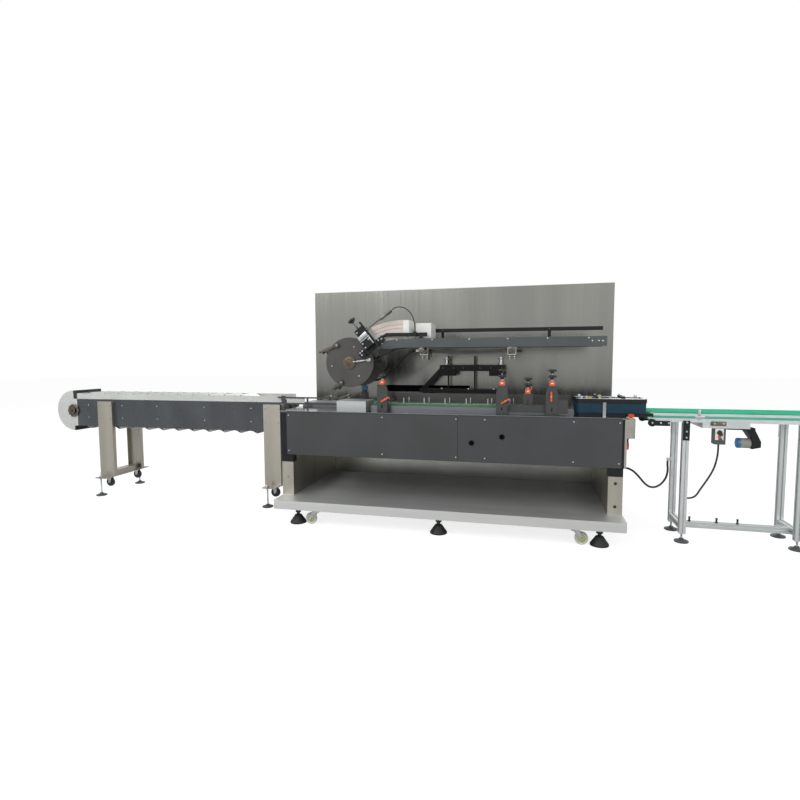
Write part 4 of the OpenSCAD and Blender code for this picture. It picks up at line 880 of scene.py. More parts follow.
@dataclass
class Housing:
    """Covers, table, posts and the small control box at the right end."""

    screw_x: Row = (-1174, -437, 101, 302, 888, 1174)
    screw_inset: float = 30.0
    screw_d: float = 11.0
    holes: Rows = ((211, 641), (419, 690))
    hole_rim: Row = (17, 22, 2)  # inner and outer radius, height
    rim_depth: float = 0.4
    hole_shade: Rows = ((16.6, -1), (16.6, 1), (2, 1))
    shade_depth: float = 12.0
    post_step: float = 7.0
    post_bolt: Row = (15, 62)  # size, distance from the right end
    post_bolt_z: Row = (246, 402)
    post_dot: Row = (9, 46, 330)  # size, distance from the left end, height
    lid: Row = (3, 2, 2.5)  # inset and rise, depth in the box, edge
    lid_screw: Row = (6, 9, 10)  # size, inset from the sides and from the ends
    gland_at: Row = (12, 53, 0)
    gland: Rows = ((9, -SUNK), (9, 8), (7, 10), (7, 36))
    plug: Rows = ((8, 0), (10.5, 2), (10.5, 30), (9, 33), (9, 44), (6, 46))
    plug_drop: float = 35.0
    stop_ring: Row = (11.4, 22, 6, 1.2)  # inner and outer radius, height, edge
    stop_lift: float = 0.4

    def build(self) -> None:
        """Dresses the housing and adds its screws and the small fittings of the control box."""
        dress(COVER_PAINT, "front_covers")
        dress(BLACK_PAINT, "conveyor_housing")
        dress(FRAME_STEEL, "side_frames")
        dress(TABLE_STEEL, "table_top")
        dress(PALE_PAINT, "control_box")
        dress(RED, "emergency_stop")
        self.screws()
        self.control()

    def screws(self) -> None:
        """Domed screws near the covers' edges, rims in the access holes and dark discs of painted shade deep
        in them, bolts in the posts.
        """
        low, high = COVERS
        places = [(x + START[0], low[1], z) for x in self.screw_x
                  for z in (high[2] - self.screw_inset, low[2] + self.screw_inset)]
        make("cover_screws", button_screw(self.screw_d).facing(Facing.FRONT).copied(places), ZINC)
        rim = washer_ring(*self.hole_rim).facing(Facing.FRONT)
        make("access_rims", rim.copied([at(x, self.rim_depth, z) for x, z in self.holes]), BLACK_PLASTIC)
        # Dark discs set back in the holes: painted shade
        shade = lathe(self.hole_shade).facing(Facing.FRONT)
        make("access_shades", shade.copied([at(x, self.shade_depth, z) for x, z in self.holes]), SLOT_SHADE_BLACK)
        low, high = box("side_frames")
        face = low[1] + self.post_step
        size, inset = self.post_bolt
        ends = [(high[0] - inset, face, z) for z in self.post_bolt_z]
        make("post_bolts", hex_bolt(size).facing(Facing.FRONT).copied(ends), BLACK_PLASTIC)
        size, inset, z = self.post_dot
        make("post_dot", button_screw(size).facing(Facing.FRONT).moved((low[0] + inset, face, z)),
             BLACK_PLASTIC)

    def control(self) -> None:
        """Lid, screws, gland and plug of the control box, and the stop button's collar."""
        low, high = box("control_box")
        rise, lap, edge = self.lid
        lid = slab(low + (rise, -rise, rise), (high[0] - rise, low[1] + lap, high[2] - rise), edge)
        make("control_lid", lid, PALE_PAINT)
        size, side, end = self.lid_screw
        corners = [(x, low[1] - rise, z) for x in (low[0] + side, high[0] - side)
                   for z in (low[2] + end, high[2] - end)]
        make("control_screws", cap_screw(size).facing(Facing.FRONT).copied(corners), ZINC)
        under = low + self.gland_at
        make("control_gland", lathe(self.gland, None, 24).facing(Facing.DOWN).moved(under), BLACK_PLASTIC)
        hung = under - (0, 0, self.plug_drop)
        make("control_plug", lathe(self.plug, None, 24).facing(Facing.DOWN).moved(hung), RED)
        low, high = box("emergency_stop")
        middle = [*((low + high) / 2)[:2], low[2] + self.stop_lift]
        make("stop_collar", washer_ring(*self.stop_ring).moved(middle), YELLOW)


@dataclass
class Cabinet:
    """The closed steel cabinet behind the table."""

    slot: Rows = ((-620, 938), (100, 996))  # left and lower, right and upper edge
    slot_gap: float = 1.0
    # The liner and the lip are dark slabs of painted shade for the pusher slot
    liner: Row = (34, 40, 1)  # front and rear face behind the cabinet's front, edge
    lip: Row = (-1.2, 1, 0.5)  # the same for the lip
    lip_reach: float = 110.0
    lip_lap: float = 0.5
    panels: int = 3
    rear_inset: float = 45.0
    rear_screw: Row = (16, 90)  # size, distance from the ends
    lock: Rows = ((15, -1), (15, 4), (13, 6), (6, 6, 0.8), (6, 3, 0.8))
    lock_in: Row = (30, 420)  # distance from the screws and from the ends

    def build(self) -> None:
        """Dresses the cabinet, paints shade into its pusher slot and adds the rear panels' screws and locks.
        """
        dress(CABINET_STEEL, "cabinet")
        low, high = box("cabinet")
        self.pusher_slot(low[1])
        self.rear(low, high)

    def pusher_slot(self, face: float) -> None:
        """Painted shade: a dark liner deep in the slot, and a thin dark lip on the front that carries the
        slot's shaded line on to the left.

        Args:
            face: Depth of the cabinet's front.
        """
        left, right = (x + START[0] for x in (self.slot[0][0], self.slot[1][0]))
        base, top = self.slot[0][1] + self.slot_gap, self.slot[1][1] - self.slot_gap
        front, rear, edge = self.liner
        liner = slab((left + self.slot_gap, face + front, base),
                     (right - self.slot_gap, face + rear, top), edge)
        make("slot_shade_liner", liner, SLOT_SHADE_BLACK)
        front, rear, edge = self.lip
        lip = slab((left - self.lip_reach, face + front, base), (left + self.lip_lap, face + rear, top), edge)
        make("slot_shade_strip", lip, SLOT_SHADE_BLACK)

    def rear(self, low: np.ndarray, high: np.ndarray) -> None:
        """Screws along the sides of the rear panels and two turn locks on each.

        Args:
            low: Lowest corner of the cabinet.
            high: Highest corner of the cabinet.
        """
        wide = (high[0] - low[0]) / self.panels
        middles = low[0] + wide * (np.arange(self.panels) + 0.5)
        reach = wide / 2 - self.rear_inset
        size, end = self.rear_screw
        screws = [(m + s * reach, high[1], z) for m in middles for s in (-1, 1)
                  for z in (low[2] + end, (low[2] + high[2]) / 2, high[2] - end)]
        make("rear_screws", button_screw(size).facing(Facing.BACK).copied(screws), ZINC)
        side, end = self.lock_in
        spots = [(m + reach - side, high[1], z) for m in middles for z in (low[2] + end, high[2] - end)]
        make("rear_locks", lathe(self.lock, lobes(2, 0.6), 40).facing(Facing.BACK).copied(spots), ZINC)


@dataclass
class CartonConveyor:
    """Lug chains, deck, guides, adjusters and the pusher's bridge."""

    chain_x: Row = (-466, 516)
    lug_rise: float = 50.0
    link_pitch: float = 15.9
    link: Row = (14, 3, 1.8)  # length, width, height
    link_in: Row = (1.9, 12.1)  # the two rows of plates, from the chain's outer side
    link_sunk: float = 0.2
    posts: Rows = ((-445, 35, 840, 203), (414, 35, 840, 203), (588, 97, 884, 101),
                   (746, 35, 840, 203))  # foot's place and height of each post
    foot_screw: Row = (11, 24, 14)  # size, distance from the middle and from the foot
    knob: Row = (58, 15.2)  # diameter, height
    knob_drop: Row = (16, 56)
    long_spindle: float = 110.0
    spindle: Row = (6, 2.5, 3)  # radius, pitch, distance of its end from the top
    window: Row = (17, 8.6, 1.2)  # width, height, corner
    window_at: Row = (0, 0.3, 17)
    collar: Row = (6.8, 11.5, 9, 1)  # inner and outer radius, height, edge
    collar_at: Row = (0, 14, 32.2)
    levers: Rows = ((0, 23, 108), (1, 23, 108), (3, -4, 73))  # post, place from its middle and top
    lever_screw: Row = (9, 10)  # size, distance in front of the post
    tab: Block = ((18, 9, 26), (28, 19, 49), 2)
    tab_post: int = 2
    beam_bolt: Row = (15, 737, 972)  # size, depth, height
    beam_x: Row = (-118, 105, 313)
    bridge_bolt: Row = (11, 740, 1150)  # size, depth, height
    bridge_x: Row = (-110, -20, 60, 200, 290, 380)
    columns: Row = (-85, 367)
    stud_nut: Rows = ((12.4, 0), (12.4, 2), (19, 2.2, 1), (19, 14, 1), (12.4, 15))
    stud_y: float = 770.0
    stud_z: Row = (1175.2, 1220)
    arms: Row = (-165, 472)
    arm_cap: Rows = ((22.4, -1), (22.4, 2.6), (20.5, 4), (9, 4), (8, 6.5), (2, 6.5))
    cap_at: Row = (104, 1288)
    clamp_face: Block = ((-27, 195, 1260), (27, 200.4, 1306), 2)
    clamp_bolt: Row = (9, 15, 195, 1294)  # size, distance from the arm's middle, depth, height
    clamp_ring: Rows = ((5.2, 0), (10, 0.2, 1), (10, 8, 1), (5.2, 8.2))
    ring_at: Row = (17, 228)  # distance from the arm's middle, depth
    ring_z: Row = (1229, 1247)
    stop_bars: Blocks = (((32, 192, 1222), (44, 204, 1298), 1.5),
                         ((50, 194, 1240), (58, 202, 1296), 1.5),
                         ((34, 192, 1272), (72, 204, 1292), 1.5))
    opener_bar: Block = ((-74, -9, -8), (74, 9, 8), 2)
    opener_lean: float = 17.0
    opener_bars: Rows = ((-1140, 660, 890), (-985, 675, 896), (-965, 650, 878))
    opener_blocks: Blocks = (((-1160, 650, 839.8), (-1104, 700, 884), 2),
                             ((-1010, 662, 839.8), (-962, 710, 890), 2),
                             ((-1210, 640, 839.8), (-900, 720, 850), 1.5))
    pin_d: float = 18.0
    opener_pins: Rows = ((-1150, 650, 866), (-1118, 650, 862), (-1078, 651, 908),
                         (-1000, 641, 868), (-912, 641, 895))

    def build(self) -> None:
        """Dresses the conveyor and adds chain links, hand grips, counters' windows, clamps and the opener."""
        dress(ZINC, "lug_chains", "chain_shafts")
        dress(DECK_METAL, "deck_rails")
        dress(STRIP_GREEN, "wear_strips")
        dress(BLACK_PAINT, "pusher_bridge")
        dress(HARD_COAT, "guide_plates")
        dress(POST_COAT, "adjuster_posts")
        dress(ORANGE, "adjuster_fittings")
        dress(CHROME, "support_rods")
        dress(BOX_STEEL, "table_cover")
        self.chain_links()
        for i in range(1, len(self.posts) + 1):
            self.grip(i)
        self.counters()
        self.bridge()
        self.clamps()
        self.opener()

    def chain_links(self) -> None:
        """Two rows of link plates along the upper run of each chain."""
        low, high = box("lug_chains")
        long, wide, tall = self.link
        top = high[2] - self.lug_rise
        plate = prism(round_rect(long, wide, wide / 2 - 0.1, 3), tall, 0.4)
        xs = np.arange(*self.chain_x, self.link_pitch) + START[0]
        rows = [low[1] + inset for inset in self.link_in] + [high[1] - inset for inset in self.link_in[::-1]]
        make("chain_links", plate.copied([(x, y, top - self.link_sunk) for y in rows for x in xs]), ZINC)

    def grip(self, i: int) -> None:
        """Star grips on a threaded spindle, in place of the plain knob.

        Args:
            i: Number of the adjuster.
        """
        low, high = box(f"star_knob_{i}")
        axis = np.array([high[0] - self.knob[0] / 2, (low[1] + high[1]) / 2, 0.0])
        drops = self.knob_drop[:1] if high[2] - low[2] < self.long_spindle else self.knob_drop
        grips = star_grip(*self.knob).copied([axis + (0, 0, high[2] - drop) for drop in drops])
        make(f"star_grip_{i}", grips, BLACK_PLASTIC, f"knob_{i}", [f"star_knob_{i}"])
        radius, pitch, short = self.spindle
        rod = thread(radius, high[2] - low[2] - short, pitch).moved(axis + (0, 0, low[2]))
        make(f"spindle_{i}", rod, ZINC, f"knob_{i}")

    def counters(self) -> None:
        """Blank windows and collars of the counters, lever screws and foot screws of the posts."""
        tops = np.array([at(x, y, z + h) for x, y, z, h in self.posts])
        pane = prism(round_rect(*self.window, 4), 1.6, 0.4).facing(Facing.FRONT)
        make("counter_windows", pane.copied(tops + self.window_at), WHITE)
        make("spindle_collars", washer_ring(*self.collar).copied(tops + self.collar_at), ZINC)
        size, out = self.lever_screw
        bolts = [tops[i] + (side, -out, -drop) for i, side, drop in self.levers]
        make("lever_screws", cap_screw(size).facing(Facing.FRONT).copied(bolts), ZINC)
        size, side, rise = self.foot_screw
        feet = [at(x + s * side, y, z + rise) for x, y, z, _ in self.posts for s in (-1, 1)]
        make("post_screws", cap_screw(size).facing(Facing.FRONT).copied(feet), OILED_STEEL)
        make("counter_tab", slab(*self.tab).moved(tops[self.tab_post]), ORANGE)

    def bridge(self) -> None:
        """Bright bolts on the pusher's beam, dark ones on its bridge and nuts round the bridge's studs."""
        size, y, z = self.beam_bolt
        make("beam_bolts", hex_bolt(size).copied(in_row(self.beam_x, y, z)), ZINC)
        nut = lathe(self.stud_nut, hexagon, 36, ring=True)
        make("stud_nuts", nut.copied([at(x, self.stud_y, z) for x in self.columns for z in self.stud_z]),
             ZINC)
        size, y, z = self.bridge_bolt
        make("bridge_bolts", cap_screw(size).facing(Facing.FRONT).copied(in_row(self.bridge_x, y, z)),
             OILED_STEEL)

    def clamps(self) -> None:
        """Faces, nuts, end caps and black stop bars of the two clamps that carry the magazine."""
        make("clamp_faces", slab(*self.clamp_face).copied(in_row(self.arms, 0, 0)), CLAMP_STEEL)
        size, off, y, z = self.clamp_bolt
        nuts = [at(x + side * off, y, z) for x in self.arms for side in (-1, 1)]
        make("clamp_bolts", hex_bolt(size).facing(Facing.FRONT).copied(nuts), ZINC)
        ring = lathe(self.clamp_ring, hexagon, 36, ring=True)
        off, y = self.ring_at
        ends = [at(x + side * off, y, z) for x in self.arms for side in (-1, 1) for z in self.ring_z]
        make("stud_rings", ring.copied(ends), CLAMP_STEEL)
        cap = lathe(self.arm_cap, None, 40).facing(Facing.FRONT)
        make("arm_caps", cap.copied(in_row(self.arms, *self.cap_at)), OILED_STEEL)
        left, right = in_row(self.arms, 0, 0)
        bars = blocks(self.stop_bars[:2]).moved(left) + blocks(self.stop_bars[2:]).moved(right)
        make("clamp_bars", bars, BLACK_PLASTIC)

    def opener(self) -> None:
        """The opener's linkage at the back of the table: sloped bars on blocks, with bright joints."""
        bar = slab(*self.opener_bar).turned(lean(self.opener_lean))
        make("opener_bars", bar.copied(self.opener_bars).moved(START), OILED_STEEL)
        make("opener_blocks", blocks(self.opener_blocks).moved(START), CLAMP_STEEL)
        pins = cap_screw(self.pin_d).facing(Facing.FRONT).copied(self.opener_pins)
        make("opener_pins", pins.moved(START), ZINC)


@dataclass
class Magazine:
    """Beams, belt, fanned carton blanks, delivery gate and cable chain."""

    bend_x: float = -310.0
    belt_gap: float = 0.3
    fan_r: float = 460.3
    fan_angle: float = 24.0
    straight: float = 46.0
    blank: Row = (2.9, 198, 136)  # thickness, width, height
    levels: Row = (0, 0.34, 0.66, 1)
    count: int = 66
    white_ends: int = 12
    ragged: float = 1.1
    seed: int = 7
    links: int = 41
    sag: float = 12.0
    link_end: float = 9.0
    link_top: float = 15.7
    link_side: Row = (10.4, 29, 5)  # width, height, corner
    link_y: Row = (-15.5, 19.8)
    link_bars: Blocks = (((-4, -17, 9.5), (4, 17, 13), 1), ((-4, -17, -13), (4, 17, -9.5), 1))
    beam_screws: Rows = ((-349, 10), (-88, 10), (179, 10), (446, 10), (713, 10), (980, 10),
                         (-462, 35))  # place and distance below the beam's top
    beam_screw_d: float = 12.0
    end_screws: Row = (1003, 1044, 1069)
    end_screw_z: float = 1345.0
    rail_screws: Row = (-49, 733)
    rail_screw: Row = (11, 8, 13)  # size, distance from the rails' rear and top
    gate_lean: float = 39.0
    gate_foot: Row = (-493, 104, 1352)
    gate_plates: Blocks = (
        ((-94, -51, 82), (-15, -45.5, 113), 1.5), ((-98, -48, 70), (-12, -22, 76), 1.5),
        ((-70, -54, 84), (-62, -50, 111), 1), ((-40, -54, 84), (-32, -50, 111), 1),
        ((-22, -55, 6), (-14, -51.5, 64), 1))
    gate_bolts: Rows = (
        (-84, -51, 97), (-52, -51, 97), (-24, -51, 97), (-86, -52, 52), (-86, -52, 18),
        (-30, -52, 52), (-146, -40, -4), (14, -16, 6), (40, -16, -2), (-70, -50, 142))
    gate_bolt_d: float = 12.0
    gate_head_d: float = 15.0
    gate_heads: Rows = ((-130, -24, 14), (-152, -20, 14), (8, -8, 20), (34, -8, 20))
    gate_rod: Row = (6.6, 72, 3)  # radius, length, pitch
    rod_foot: Row = (-49, -34, 164)
    gate_grip: Row = (60, 17)  # diameter, height
    grip_foot: Row = (-49, -34, 235.6)
    sensor: Row = (-546, 67, 1462)
    sensor_lift: float = 35.0
    barrel: Rows = ((13.3, 99), (13.9, 100), (13.9, 146), (13.3, 147), (9, 148))
    valve_foot: Row = (25, 22, 50, 2)  # half its width and depth, distance from the top, edge
    valve_neck: Block = ((-17, -16, -50.5), (17, 16, -36), 2)
    valve_head: Block = ((-21.5, -21, -37), (21.5, 21, 0), 3)

    def build(self) -> None:
        """Dresses the beams and adds blanks, chain links, screws, the gate's metal parts and the fittings."""
        dress(BEAM_PAINT, "magazine_plates")
        dress(BELT_MAGAZINE, "magazine_belt")
        dress(BLACK_PAINT, "guide_rails", "magazine_gate")
        dress(WHITE, "carton_follower")
        dress(OILED_STEEL, "carton_sensor")
        self.blanks()
        self.cable_links()
        self.screws()
        self.gate()
        self.fittings()

    def blanks(self) -> None:
        """Thin folded blanks that stand across the magazine and fan out over its bent end.

        Along the fan a blank's foot lies on a circle and the blank points away from the centre, and on the
        straight part it stands upright; each is a thin block in its own three directions.
        """
        low, high = box("carton_stack")
        floor = box("magazine_belt")[1][2] + self.belt_gap
        centre = np.array([self.bend_x + START[0], (low[1] + high[1]) / 2, floor - self.fan_r])
        rng = np.random.default_rng(self.seed)
        arc = self.fan_r * math.radians(self.fan_angle)
        thick, wide, tall = self.blank
        s = np.linspace(-arc + thick, self.straight - thick, self.count)
        turn = np.where(s < 0, -s / self.fan_r, 0.0)
        up = np.stack([-np.sin(turn), 0 * turn, np.cos(turn)], axis=-1)
        ahead = np.stack([np.cos(turn), 0 * turn, np.sin(turn)], axis=-1)
        foot = centre + self.fan_r * up + np.where(s > 0, s, 0.0)[:, None] * np.array([1.0, 0.0, 0.0])
        foot = foot + rng.uniform(-self.ragged, self.ragged, (self.count, 1)) * np.array([0.0, 1.0, 0.0])
        corner = np.array([(a, b, c) for c in self.levels for a, b in ((-1, -1), (1, -1), (1, 1), (-1, 1))])
        rise = tall - rng.uniform(0, self.ragged, (self.count, 1))
        points = (foot[:, None] + corner[None, :, :1] * ahead[:, None] * thick / 2
                  + corner[None, :, 1:2] * np.array([0.0, wide / 2, 0.0])
                  + (corner[:, 2] * rise)[:, :, None] * up[:, None])
        one = shell(np.zeros((len(self.levels), 4, 3)))
        cut = self.count - self.white_ends
        for name, chosen, finish, replaces in (("cartons", points[:cut], BOARD_CREAM, ["carton_stack"]),
                                               ("end_blanks", points[cut:], BOARD_WHITE, ())):
            stack = one.copied(np.zeros((len(chosen), 3)))
            stack.points = chosen.reshape(-1, 3)
            make(name, stack, finish, replaces=replaces, height=np.tile(corner[:, 2], len(chosen)))

    def cable_links(self) -> None:
        """Links of the hanging cable chain, each turned to the slope of a parabola between the two clamps."""
        low, high = box("cable_chain")
        half = (high[0] - low[0]) / 2 - self.link_end
        u = np.linspace(-1, 1, self.links)
        places = np.stack([(low[0] + high[0]) / 2 + half * u, np.full_like(u, (low[1] + high[1]) / 2),
                           high[2] - self.link_top - self.sag * (1 - u * u)], axis=-1)
        slope = np.arctan(2 * self.sag * u / half)
        c, s, o = np.cos(slope), np.sin(slope), np.zeros_like(u)
        turns = np.stack([c, o, -s, o, o + 1, o, s, o, c], axis=-1).reshape(-1, 3, 3)
        side = prism(round_rect(*self.link_side, 4), 4.2).facing(Facing.FRONT)
        link = side.copied([(0, y, 0) for y in self.link_y]) + blocks(self.link_bars)
        make("cable_links", link.copied(places, turns), LINK_SHEEN_NYLON, replaces=["cable_chain"])

    def screws(self) -> None:
        """Screws along the upper edge and at the end of the front beam, and in the guide rail."""
        low, high = box("magazine_plates")
        spots = [(x + START[0], low[1], high[2] - drop) for x, drop in self.beam_screws]
        spots += [(x + START[0], low[1], self.end_screw_z) for x in self.end_screws]
        make("beam_screws", button_screw(self.beam_screw_d).facing(Facing.FRONT).copied(spots), ZINC)
        high = box("guide_rails")[1]
        size, rear, top = self.rail_screw
        rail = [(x + START[0], high[1] - rear, high[2] - top) for x in self.rail_screws]
        make("rail_screws", cap_screw(size).facing(Facing.FRONT).copied(rail), OILED_STEEL)

    def gate(self) -> None:
        """Bright bracket, bolts, threaded rod and hand grip on the leaning gate."""
        turn, foot = lean(self.gate_lean), at(*self.gate_foot)
        bolts = cap_screw(self.gate_bolt_d).facing(Facing.FRONT).copied(self.gate_bolts)
        heads = hex_bolt(self.gate_head_d).copied(self.gate_heads)
        rod = thread(*self.gate_rod).moved(self.rod_foot)
        grip = star_grip(*self.gate_grip).moved(self.grip_foot)
        for name, surface, finish in (("plates", blocks(self.gate_plates), ZINC), ("bolts", bolts, ZINC),
                                      ("heads", heads, ZINC), ("rod", rod, ZINC),
                                      ("grip", grip, BLACK_PLASTIC)):
            make(f"gate_{name}", surface.turned(turn).moved(foot), finish)

    def fittings(self) -> None:
        """Bright barrel of the carton sensor, and the vacuum valve's body and coloured head."""
        barrel = lathe(self.barrel).turned(lean(self.sensor_lift - 90))
        make("sensor_barrel", barrel.moved(at(*self.sensor)), DECK_METAL)
        low, high = box("vacuum_valve")
        top = np.array([*((low + high) / 2)[:2], high[2]])
        wide, deep, drop, edge = self.valve_foot
        foot = slab((-wide, -deep, low[2] - high[2]), (wide, deep, -drop), edge)
        make("valve_body", (foot + slab(*self.valve_neck)).moved(top), HARD_COAT, replaces=["vacuum_valve"])
        make("valve_head", slab(*self.valve_head).moved(top), BLUE)


@dataclass
class Feeder:
    """The rotary feeder's drum, arms and hub."""

    cap_rings: Rows = ((37, -SUNK), (37, 1.4), (35, 2.6), (30, 2.6), (29, 1.4), (24, 1.4), (22.5, 3.2),
                       (12, 3.8), (10.5, 5.2), (3, 5.2))
    flange: Row = (38.4, 46.5, 2)  # inner and outer radius, height
    flange_depth: float = 4.0
    bolts: Rows = ((37, 116), (-142, -27), (74, -102))
    bolt_d: float = 12.0
    arm_r: float = 163.0
    arm_turns: Row = (127, 247)
    arm_bolt_depth: float = 3.0
    crank_pin: Rows = ((4, 0), (4, 6))
    ball: Row = (7.5, 9)  # radius, height of its middle
    ball_at: Row = (42, 3, 5)
    link: Blocks = (((44, -3, -4), (150, 0.2, 4), 1), ((140, -4, -12), (170, 0.2, 12), 1.5))
    link_turn: float = 7.0

    def build(self) -> None:
        """Dresses the drum and adds the hub's turned rings, bolts, the crank's ball and its link."""
        dress(HARD_COAT, "drum", "drum_bearing")
        dress(OILED_STEEL, "suction_arms", "drum_hub")
        low, high = box("drum")
        axis = np.array([(low[0] + high[0]) / 2, low[1], (low[2] + high[2]) / 2])
        front = np.array([axis[0], box("drum_hub")[0][1], axis[2]])
        behind = front + (0, self.flange_depth, 0)
        hub = lathe(self.cap_rings, None, 48).facing(Facing.FRONT).moved(front)
        hub = hub + washer_ring(*self.flange).facing(Facing.FRONT).moved(behind)
        knob = lathe(self.crank_pin, None, 20) + ball(*self.ball)
        knob = knob.facing(Facing.FRONT).moved(front + self.ball_at)
        link = blocks(self.link).turned(lean(self.link_turn)).moved(behind)
        screw = button_screw(self.bolt_d).facing(Facing.FRONT)
        bolts = screw.copied([axis + (x, 0, z) for x, z in self.bolts])
        turns = np.radians(self.arm_turns)
        depth = np.full_like(turns, box("suction_arms")[0][1] + self.arm_bolt_depth)
        pins = np.stack([axis[0] + self.arm_r * np.cos(turns), depth,
                         axis[2] + self.arm_r * np.sin(turns)], axis=-1)
        for name, surface, finish in (("hub_cap", hub, BRONZE), ("drum_bolts", bolts, ZINC),
                                      ("crank_ball", knob, CHROME), ("hub_link", link, ZINC),
                                      ("arm_bolts", screw.copied(pins), ZINC)):
            make(name, surface, finish, "feeder_drum")


@dataclass
class Discharge:
    """Upright belts that carry the closed cartons out."""

    loop: float = 70.0
    # The lid rows size pale plates that paint the sheen of light on the black top plates
    lid: Row = (2, 3)  # height, excess over the belt
    lid_lap: float = 0.3
    plate_rise: float = 28.0
    pulley_cap: float = 20.0
    bridge_cap: Row = (12, 140)  # size, distance from the belts' ends
    fittings: Rows = ((972, 16), (1053, 22), (1119, 20))
    fitting: Rows = ((8, -1), (8, 10), (6.5, 11), (6.5, 18))
    collar: Row = (3.5, 9, 7, 1)  # inner and outer radius, height, edge
    collars: Rows = ((0, 22, 0, 0), (1, 0, 0, 18))  # fitting, place from its foot

    def build(self) -> None:
        """Dresses the belts and adds pale plates on top, a painted sheen of light on the black top plates,
        with pulley caps, bridge bolts and air fittings.
        """
        dress(BELT_BLUE, "discharge_belts")
        dress(BLACK_PAINT, "discharge_frame")
        high = box("discharge_frame")[1]
        belts = box("discharge_belts")
        half = self.loop / 2
        rows = (belts[0][1] + half, belts[1][1] - half)
        ends = (belts[0][0] + half, belts[1][0] - half)
        tall, excess = self.lid
        foot = belts[1][2] + self.plate_rise - self.lid_lap
        # Pale skin over the black top plates: a painted sheen of light
        lid = prism(round_rect(belts[1][0] - belts[0][0] + excess, self.loop + excess, half, 9), tall)
        make("discharge_top_sheen", lid.copied([(sum(ends) / 2, y, foot) for y in rows]), ANODISED)
        top = foot + tall
        make("pulley_caps", hex_bolt(self.pulley_cap).copied([(x, y, top) for x in ends for y in rows]), ZINC)
        size, inset = self.bridge_cap
        bridges = (belts[0][0] + inset, belts[1][0] - inset)
        make("bridge_caps", cap_screw(size).copied([(x, y, high[2]) for x in bridges for y in rows]), ZINC)
        spots = [(x + START[0], rows[0] - depth, top) for x, depth in self.fittings]
        make("air_fittings", lathe(self.fitting, hexagon, 24).copied(spots), ZINC)
        collars = [np.add(spots[i], place) for i, *place in self.collars]
        make("air_collars", washer_ring(*self.collar).copied(collars), YELLOW)


